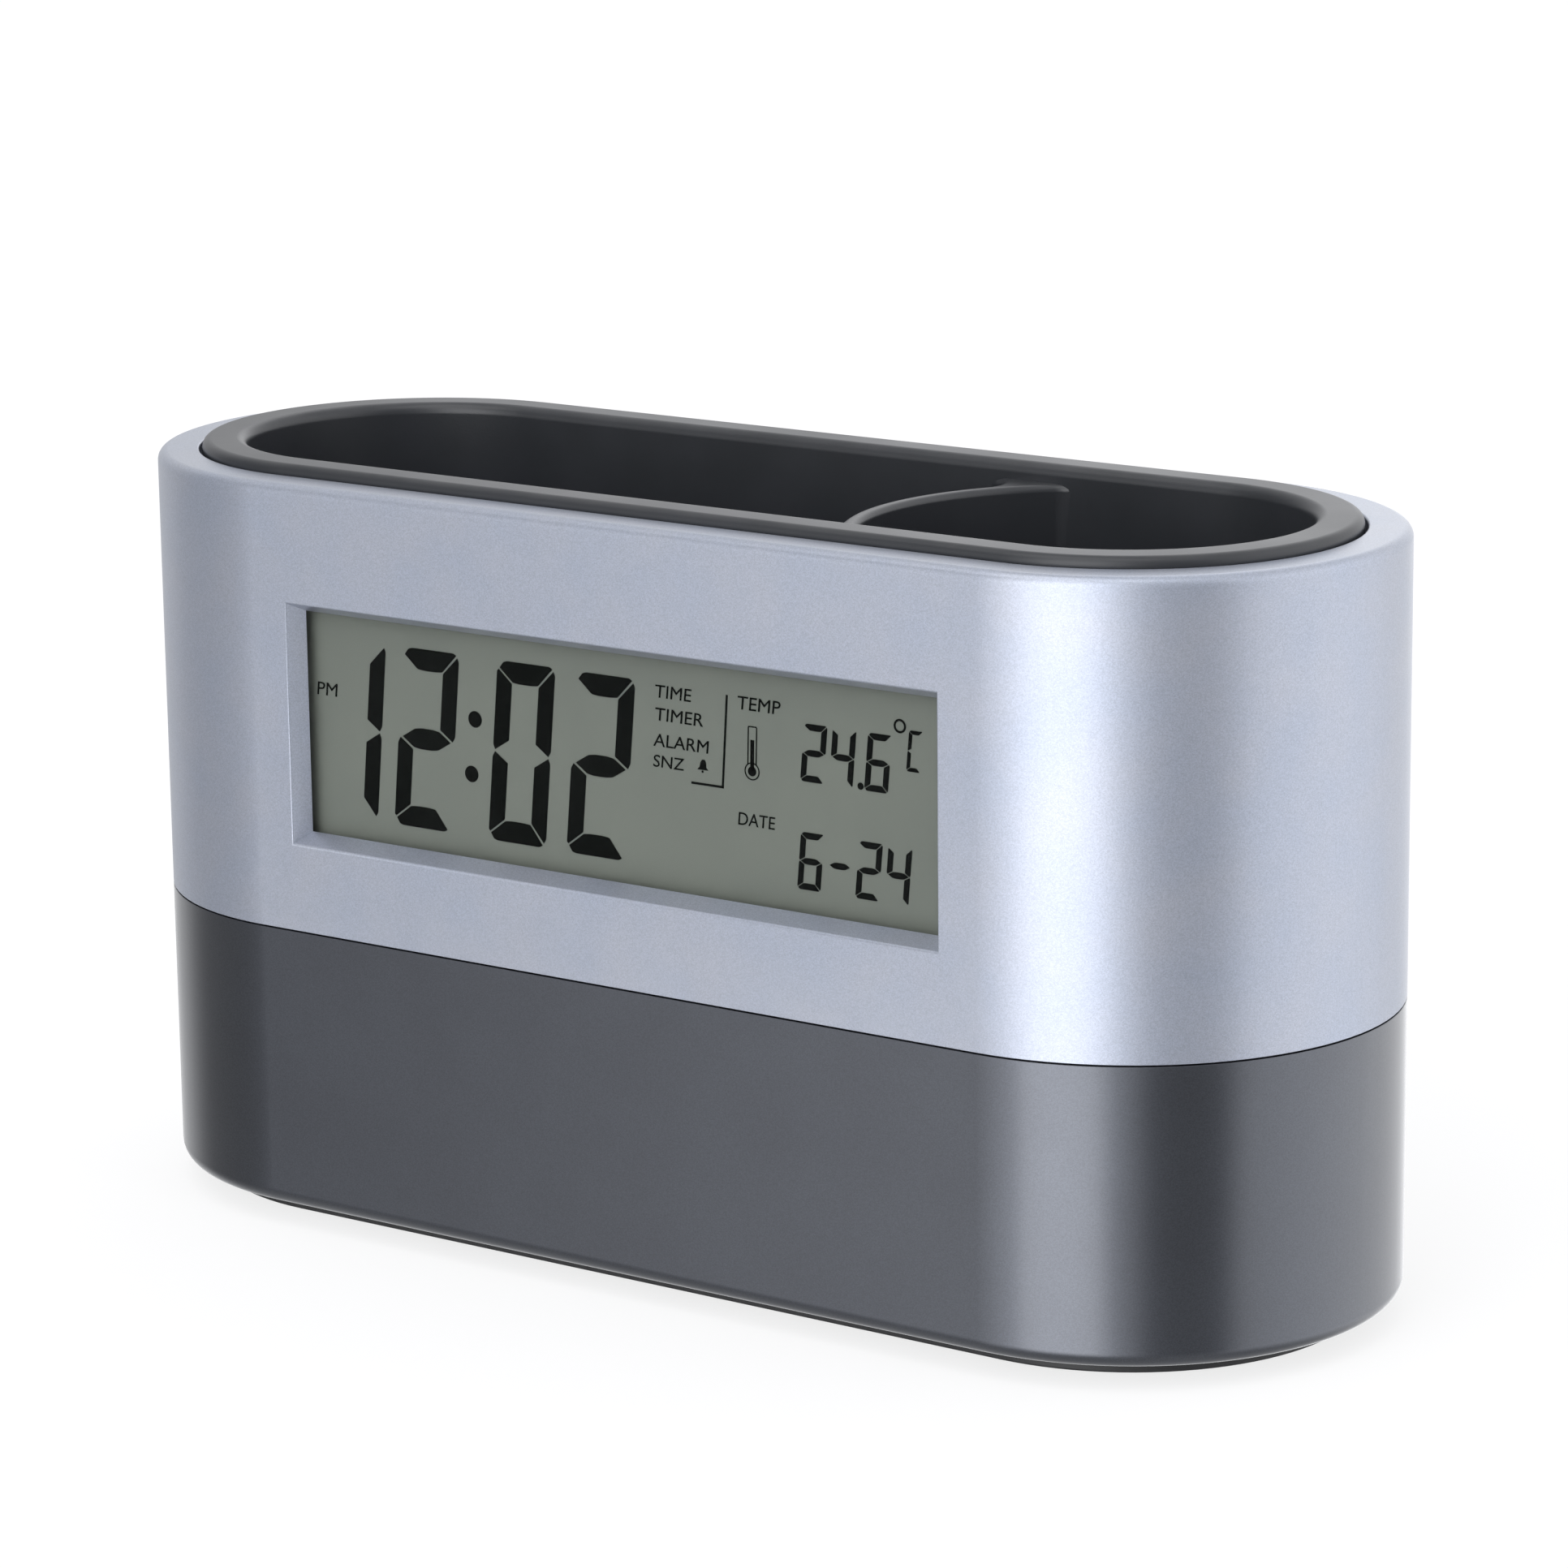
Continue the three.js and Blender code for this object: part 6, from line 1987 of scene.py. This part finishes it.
@dataclass
class BatteryBay(SubAssembly):
    """The door on its hinge, the tray, two cells, their contacts and leads."""

    barrel_radius: float = 1.3
    pin_radius: float = 0.65
    pin_length: float = 1.4
    door_thickness: float = 2.0
    notch_radius: float = 6.0
    notch_depth: float = 0.9
    grip_count: int = 4
    grip_pitch: float = 1.3
    grip_start: float = 1.6
    grip_length: float = 9.0
    grip_step: float = 1.6
    grip_width: float = 0.5
    grip_depth: float = 0.3
    tray_half: float = 27.2
    tray_wall: float = 1.3
    saddle_half: float = 0.9
    saddle_rise: float = 2.1
    ear_thickness: float = 1.6
    ear_hole: float = 1.1
    ear_height: float = 8.0
    ear_setback: float = 9.0
    cell_radius: float = 5.25
    jacket: float = 0.12
    nub: float = 0.8
    nub_radius: float = 1.9
    sheet_corner: float = 1.2
    rivet_hole: float = 0.6
    rivet_drop: float = 1.4
    spring_wire: float = 0.35
    spring_tip: float = 2.2
    spring_turns: int = 4
    lead_radius: float = 0.65
    lead_lane: float = -38.0
    lead_spacing: float = 3.5
    lead_crossing: float = 12.4

    def build(self) -> None:
        """Model the bay."""
        self.door()
        self.tray()
        for node, way in (("lower", -1), ("upper", 1)):
            self.cell(node, way)
            self.spring(node, -way)
        for node in ("contact_plate", "bridge_contact"):
            self.contact(node)
        Screw.small(1).build(self.shop, "tray_screw_{}", "12")
        self.leads()

    def door(self) -> None:
        """The panel with its barrel, pins, finger notch and grip lines."""
        low, high = span("battery_door")
        back, hinge = self.form.radius, hinge_place()
        half = high.x - self.pin_length
        panel = block("hatch", (-half, back - self.door_thickness, hinge[1]), (half, back, high.z), 0.3, 3)
        r, p = self.barrel_radius, self.pin_radius
        line = Line(0, low.x).to(p - 0.15, low.x).to(p, low.x + 0.15).to(p, -half)
        line.to(r - 0.1, -half).to(r, -half + 0.1).to(r, half - 0.1).to(r - 0.1, half)
        line.to(p, half).to(p, high.x - 0.15).to(p - 0.15, high.x).to(0, high.x)
        add(panel, lathe("barrel", Axis.X, hinge, line, 32))
        n, d = self.notch_radius, self.notch_depth
        scoop = Line(0, back - d).to(n - d, back - d).arc(n - d, back, d, -90, 0, 6)
        scoop.to(n, back + 1).to(0, back + 1)
        cut(panel, lathe("scoop", Axis.Y, (0, high.z), scoop, 64))
        lines = []
        for i in range(self.grip_count):
            level = high.z - n - self.grip_start - i * self.grip_pitch
            outline = pill(0, level, self.grip_length - i * self.grip_step, self.grip_width, 8)
            lines.append(prism("grip", Axis.Y, outline, back + 1, back - self.grip_depth))
        cut(panel, join("grips", *lines))
        self.shop.keep(panel, Slot.GREY, "battery_door", body=Body.DOOR)

    def tray(self) -> None:
        """An open box with a saddle between the cells and an ear at each end."""
        low, high = span("battery_tray")
        x, w = self.tray_half, self.tray_wall
        piece = block("cell_tray", (-x, low.y, low.z), (x, high.y, high.z), 0.3)
        inside = (-x + w, low.y + w, low.z + w), (x - w, high.y + 1, high.z - w)
        cut(piece, block("inside", *inside, 0.4))
        middle, half = (low.z + high.z) / 2, self.saddle_half
        foot, crest = low.y + w / 2, low.y + w + self.saddle_rise
        saddle = Line(foot, middle - half).to(crest - 0.3, middle - half + 0.2).to(crest, middle)
        saddle.to(crest - 0.3, middle + half - 0.2).to(foot, middle + half)
        add(piece, prism("saddle", Axis.X, saddle, -x + 4 * w, x - 4 * w))
        rear = high.y - self.ear_setback
        front, half = rear - self.ear_thickness, self.ear_height / 2
        for node, way in (("tray_screw_1", -1), ("tray_screw_2", 1)):
            left, right = sorted((way * (x - w / 2), way * high.x))
            add(piece, block("ear", (left, front, middle - half), (right, rear, middle + half), 0.25))
            cut(piece, rod(Axis.Y, centre_of(node, Axis.Y), self.ear_hole, front - 1, rear + 1, 20))
        self.shop.keep(piece, Slot.BLACK, "battery_tray")

    def cell(self, name: str, way: int) -> None:
        """One dry cell: a steel can in a printed jacket.

        Args:
            name: which cell, lower or upper.
            way: 1 with its nub towards +X, -1 with its nub towards -X.
        """
        node = f"cell_{name}"
        low, high = span(node)
        length, flat = high.x - low.x, low.x if way > 0 else high.x
        rim, n = self.cell_radius, self.nub_radius
        r, body = rim - self.jacket, length - self.nub
        can = [
            (0, 0.15), (3.1, 0.15), (3.3, 0), (r - 0.55, 0), (r - 0.15, 0.15), (r, 0.5),
            (r, body - 0.5), (r - 0.15, body - 0.15), (r - 0.5, body - 0.05), (3.2, body - 0.05),
            (2.9, body - 0.3), (n + 0.1, body - 0.3), (n, body - 0.2), (n, length - 0.35),
            (n - 0.1, length - 0.12), (n - 0.35, length), (0, length),
        ]
        jacket = [
            (r, 0.45), (rim - 0.05, 0.4), (rim, 0.6), (rim, body - 0.6), (rim - 0.05, body - 0.4),
            (r, body - 0.45), (r, 0.45),
        ]
        pieces = []
        for part, points in (("can", can), ("jacket", jacket)):
            line = Line.through([(radius, flat + way * along) for radius, along in points])
            pieces.append(lathe(f"cell_{part}_{name}", Axis.X, centre_of(node, Axis.X), line, 48))
        self.shop.keep(pieces[0], Slot.STEEL, node)
        self.shop.keep(pieces[1], Slot.CELL, finish=JACKETS[way])

    def spring(self, name: str, side: int) -> None:
        """A cone spring, wide at its plate.

        Args:
            name: which cell it presses on.
            side: 1 with its plate at the +X end, -1 at the -X end.
        """
        node = f"contact_spring_{name}"
        low, high = span(node)
        wide = max((high.z - low.z) / 2 - self.spring_wire, self.spring_tip)
        outer, inner = (high.x, low.x) if side > 0 else (low.x, high.x)
        outer -= side * self.spring_wire
        inner += side * self.spring_wire
        y, z = centre_of(f"cell_{name}", Axis.X)
        points = []
        count = self.spring_turns * 20
        for share in (i / count for i in range(count + 1)):
            radius = wide + (self.spring_tip - wide) * share
            turn = 2 * math.pi * self.spring_turns * share
            x = outer + (inner - outer) * share
            points.append((x, y + radius * math.cos(turn), z + radius * math.sin(turn)))
        self.shop.keep(wire(f"{node}_wire", points, self.spring_wire), Slot.STEEL, node)

    def contact(self, node: str) -> None:
        """A sheet contact with rounded corners and a hole for its rivet."""
        low, high = span(node)
        thickness = (high.x - low.x) * MM

        def corner(edge: bmesh.types.BMEdge) -> bool:
            """Whether an edge runs through the sheet's thickness."""
            return edge.calc_length() < thickness + ON_PLANE

        piece = filled(f"{node}_sheet", node)
        with editing(piece, "EDGE"):
            mesh = bmesh.from_edit_mesh(piece.data)
            for edge in filter(corner, mesh.edges):
                edge.select_set(True)
            bmesh.update_edit_mesh(piece.data)
            bpy.ops.mesh.bevel(offset=self.sheet_corner * MM, segments=5, affect="EDGES")
        centre = centre_of(node, Axis.X)[0], high.z - self.rivet_drop
        cut(piece, rod(Axis.X, centre, self.rivet_hole, low.x - 1, high.x + 1, 20))
        self.shop.keep(piece, Slot.STEEL, node)

    def leads(self) -> None:
        """The red and the black lead, from the tray to the main board."""
        board_low, board_high = span("main_board")
        behind = span("battery_tray")[0].y - 3
        floor = span("cup_liner")[1].z - Liner.cup_depth
        lower, step = middle_of("cell_lower"), self.lead_spacing
        lane, crossing = self.lead_lane, self.lead_crossing
        starts = {
            "red": (lower.z - 1, lane, crossing, Slot.RED),
            "black": (middle_of("cell_upper").z + 2, lane - step, crossing + 2 * step, Slot.WIRE),
        }
        front = board_high.y + 0.3 + self.lead_radius
        begin = -self.tray_half - 0.3 - self.lead_radius
        for color, (start, x, level, slot) in starts.items():
            stops = [
                (begin, lower.y + 2, start),
                (begin - 0.2, lower.y - 3, start),
                (x + 3, behind, (start + level) / 2),
                (x, 5, level),
                (x, -12, level),
                (x + 0.5, front + 4, level + 4),
                (x + 1, front, floor + 2),
                (x + 1, front, board_low.z + 5),
            ]
            node = f"battery_lead_{color}"
            self.shop.keep(wire(f"{node}_wire", Route(stops).points(), self.lead_radius), slot, node)


@dataclass
class Electronics(SubAssembly):
    """Both boards, what is soldered on them, and the flat cable between them."""

    hole_radius: float = 1.1
    ribbon_thickness: float = 0.6
    ribbon_turn: float = 2.4
    bead_radius: float = 1.2
    leg_radius: float = 0.2

    def build(self) -> None:
        """Model the boards and their parts."""
        self.board("main_board", "board_screw_{}", "1234")
        self.board("key_board", "key_board_screw_{}", "12")
        Screw.small(-1).build(self.shop, "board_screw_{}", "1234")
        Screw.small(1).build(self.shop, "key_board_screw_{}", "12")
        self.chip()
        self.crystal()
        self.capacitor()
        self.thermistor()
        self.ribbon()

    def board(self, node: str, screws: str, marks: str) -> None:
        """A circuit board with its screw holes.

        Args:
            node: the board's CAD node.
            screws: the name of the screws' CAD nodes, with {} for the mark.
            marks: what those names differ by.
        """
        low, high = span(node)
        piece = filled(f"{node}_laminate", node, 0.06)
        for centre in (centre_of(screws.format(mark), Axis.Y) for mark in marks):
            cut(piece, rod(Axis.Y, centre, self.hole_radius, low.y - 1, high.y + 1, 24))
        self.shop.keep(piece, Slot.BOARD, node)

    def chip(self) -> None:
        """The bonded chip's dome of resin."""
        low, high = span("chip_dome")
        radius, rise = radius_of("chip_dome"), high.y - low.y
        sphere = (radius**2 + rise**2) / (2 * rise)
        reach = math.degrees(math.asin(radius / sphere))
        line = Line(0, low.y).to(radius, low.y)
        line.arc(0, high.y - sphere, sphere, 90 - reach, 90, 10)
        piece = lathe("chip_resin", Axis.Y, centre_of("chip_dome", Axis.Y), line, 48)
        self.shop.keep(piece, Slot.EPOXY, "chip_dome")

    def crystal(self) -> None:
        """The crystal's can, drawn with a round end and crimped at its base."""
        low, high = span("crystal_can")
        r = (high.z - low.z) / 2
        line = Line(0, low.x).arc(r - 0.35, low.x + 0.35, 0.35, -90, 0, 4)
        line.to(r, high.x - 0.9).to(r - 0.12, high.x - 0.75).to(r - 0.12, high.x - 0.55)
        line.to(r, high.x - 0.4).to(r, high.x - 0.05).to(r - 0.15, high.x).to(0, high.x)
        piece = lathe("crystal_shell", Axis.X, centre_of("crystal_can", Axis.X), line, 32)
        self.shop.keep(piece, Slot.STEEL, "crystal_can")

    def capacitor(self) -> None:
        """The filter capacitor: a moulded body with a polarity groove."""
        low, high = span("filter_capacitor")
        piece = filled("capacitor_body", "filter_capacitor", 0.12)
        groove = (low.x + 0.6, high.y - 0.06, low.z - 1), (low.x + 0.85, high.y + 1, high.z + 1)
        cut(piece, block("groove", *groove))
        self.shop.keep(piece, Slot.ZEBRA, "filter_capacitor", finish=CAPACITOR)

    def thermistor(self) -> None:
        """The temperature bead on its two legs."""
        low, high = span("thermistor")
        surface, r = span("key_board")[1].y + 0.1, self.bead_radius
        x, z = low.x + r, (low.z + high.z) / 2
        line = Line(0, low.x).arc(0, x, r, -90, 90, 16)
        piece = lathe("thermistor_bead", Axis.X, (surface + r / 2, z), line, 24)
        y = surface + self.leg_radius
        for leg_z in (z - r / 2, z + r / 2):
            add(piece, wire("leg", [(x, y, leg_z), (high.x, y, leg_z)], self.leg_radius))
        self.shop.keep(piece, Slot.EPOXY, "thermistor")

    def ribbon(self) -> None:
        """The flat cable, which hangs from one board and climbs to the other."""
        low, high = span("ribbon_cable")
        half, turn = self.ribbon_thickness / 2, self.ribbon_turn
        rear, front = high.y - half, low.y + half
        front_top = span("main_board")[0].z + 4
        level = low.z + half + turn
        line = Line(rear - half, high.z).to(rear - half, level)
        line.arc(rear - turn, level, turn - half, 0, -90, 8)
        line.arc(front + turn, level, turn - half, -90, -180, 8)
        line.to(front + half, front_top).to(front - half, front_top)
        line.arc(front + turn, level, turn + half, 180, 270, 8)
        line.arc(rear - turn, level, turn + half, -90, 0, 8)
        line.to(rear + half, high.z)
        piece = prism("ribbon_strip", Axis.X, line, low.x, high.x, 0.2, 2)
        self.shop.keep(piece, Slot.RIBBON, "ribbon_cable")


@dataclass
class Studio:
    """Floor, lights and the camera at the photograph's angle."""

    azimuth: float = 35.377
    elevation: float = 13.335
    roll: float = -0.687
    focal_pixels: float = 6949.15
    frame_pixels: float = 1932.0
    sensor: float = 36.0
    distance: float = 725.6
    target: Corner = (3.43, 0.0, 60.36)
    floor_size: float = 12.0
    floor_color: Color = (0.78, 0.78, 0.79)
    floor_glow: float = 0.7
    floor_emission: float = 1.13
    tint: Color = (0.972, 0.98, 1.0)
    overhead: float = 0.8
    overhead_angles: Pair = (38.0, 62.0)
    underneath: float = 0.5
    underneath_angles: Pair = (-50.0, -28.0)
    lamp_angles: Pair = (-20.0, 72.0)
    lamp_distance: float = 1.6
    lamp_size: Pair = (1.3, 1.1)
    lamp_power: float = 5.0
    panels: tuple[Pair, ...] = (
        (-179.0, 1.0), (-152.0, 1.35), (-136.0, 0.75), (-110.0, 0.6), (-80.0, 0.28), (-44.0, 0.3),
        (-31.0, 1.15), (-18.0, 1.6), (-9.0, 3.15), (16.0, 3.15), (29.0, 1.1), (44.0, 0.3),
        (68.0, 0.3), (84.0, 1.3), (125.0, 1.5), (179.0, 1.0),
    )

    def camera(self) -> None:
        """Place the camera that was fitted to the case's outlines."""
        back = self.look(self.azimuth, self.elevation)
        right = Vector((-back.y, back.x, 0)).normalized()
        up = back.cross(right)
        roll = math.radians(self.roll)
        turned = right * math.cos(roll) + up * math.sin(roll)
        upright = up * math.cos(roll) - right * math.sin(roll)
        data = bpy.data.cameras.new("camera")
        data.sensor_width = self.sensor
        data.lens = self.focal_pixels * self.sensor / self.frame_pixels
        data.clip_start, data.clip_end = 0.01, 50
        camera = bpy.data.objects.new("camera", data)
        bpy.context.scene.collection.objects.link(camera)
        axes = Matrix((turned, upright, back)).transposed().to_4x4()
        place = (Vector(self.target) + back * self.distance) * MM
        camera.matrix_world = Matrix.Translation(place) @ axes
        bpy.context.scene.camera = camera

    def floor(self) -> None:
        """A pale floor that stays near white for the camera and keeps the shadow."""
        deselect()
        bpy.ops.mesh.primitive_plane_add(size=self.floor_size)
        floor = named("floor")
        made = bpy.data.materials.new("floor")
        tree = Tree.of(made)
        shader = tree.add("ShaderNodeBsdfDiffuse", Color=(*self.floor_color, 1.0))
        glow = tree.add("ShaderNodeEmission", Strength=self.floor_emission, Color=WHITE)
        path = tree.add("ShaderNodeLightPath")
        share = tree.math("MULTIPLY", path.outputs["Is Camera Ray"], self.floor_glow)
        lit = tree.mix_shader(share, shader.outputs["BSDF"], glow.outputs["Emission"])
        under = tree.add("ShaderNodeNewGeometry").outputs["Backfacing"]
        gone = tree.math("MAXIMUM", path.outputs["Is Glossy Ray"], under)
        shown = tree.mix_shader(gone, lit, tree.add("ShaderNodeBsdfTransparent").outputs["BSDF"])
        tree.add("ShaderNodeOutputMaterial", Surface=shown)
        floor.data.materials.append(made)

    def world(self) -> None:
        """Soft panels round the case, white where the camera sees past it."""
        world = bpy.data.worlds.new("world")
        bpy.context.scene.world = world
        tree = Tree.of(world)
        parts = tree.add("ShaderNodeSeparateXYZ", Vector=tree.add("ShaderNodeTexCoord").outputs["Generated"])
        forward = tree.math("MULTIPLY", parts.outputs["Y"], -1.0)
        azimuth = tree.math("ARCTAN2", parts.outputs["X"], forward)
        turn = tree.math("ADD", tree.math("MULTIPLY", azimuth, 0.5 / math.pi), 0.5)
        ramp = tree.add("ShaderNodeValToRGB", Fac=turn)
        ramp.color_ramp.interpolation = "EASE"
        brightest = max(level for _, level in self.panels)
        stops = ramp.color_ramp.elements
        while len(stops) < len(self.panels):
            stops.new(0.5)
        for stop, (degrees, level) in zip(stops, self.panels):
            stop.position = degrees / 360 + 0.5
            stop.color = (*[level / brightest] * 3, 1.0)
        level = tree.math("MULTIPLY", ramp.outputs["Color"], brightest)
        bands = (self.overhead_angles, 0.0, self.overhead), (self.underneath_angles, 1.0, self.underneath)
        for angles, start, shine in bands:
            sines = (math.sin(math.radians(angle)) for angle in angles)
            level = tree.mix_level(tree.ramp(parts.outputs["Z"], *sines, start, 1.0 - start), level, shine)
        seen = tree.add("ShaderNodeLightPath").outputs["Is Camera Ray"]
        tint = tree.blend(seen, (*self.tint, 1.0), WHITE)
        sky = tree.add("ShaderNodeBackground", Color=tint, Strength=tree.mix_level(seen, level, 1.0))
        tree.add("ShaderNodeOutputWorld", Surface=sky.outputs["Background"])

    def look(self, azimuth: float, elevation: float) -> Vector:
        """The direction from the case to a place round it, both angles in degrees."""
        a, e = math.radians(azimuth), math.radians(elevation)
        return Vector((math.sin(a) * math.cos(e), -math.cos(a) * math.cos(e), math.sin(e)))

    def light(self) -> None:
        """A soft box overhead that looks at the case."""
        back = self.look(*self.lamp_angles)
        data = bpy.data.lights.new("overhead", "AREA")
        data.shape = "RECTANGLE"
        data.size, data.size_y = self.lamp_size
        data.energy = self.lamp_power
        lamp = bpy.data.objects.new("overhead", data)
        bpy.context.scene.collection.objects.link(lamp)
        lamp.location = back * self.lamp_distance + Vector((0, 0, 0.05))
        lamp.rotation_mode = "QUATERNION"
        lamp.rotation_quaternion = (-back).to_track_quat("-Z", "Y")

    def build(self) -> None:
        """Set up everything that isn't part of the object."""
        self.camera()
        self.floor()
        self.world()
        self.light()
        bpy.context.scene.view_settings.view_transform = "Standard"


def main() -> None:
    """Build the studio and every sub-assembly."""
    logging.basicConfig(level=logging.INFO, format="%(name)s: %(message)s")
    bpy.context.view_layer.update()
    Studio().build()
    shop = Workshop()
    form = CaseForm.of("upper_shell")
    for kind in (Sleeve, Base, Liner, Plinth, Display, Keys, BatteryBay, Electronics):
        kind(shop, form).build()
    LOG.info("%d pieces kept", shop.count)


if __name__ == "__main__":
    main()
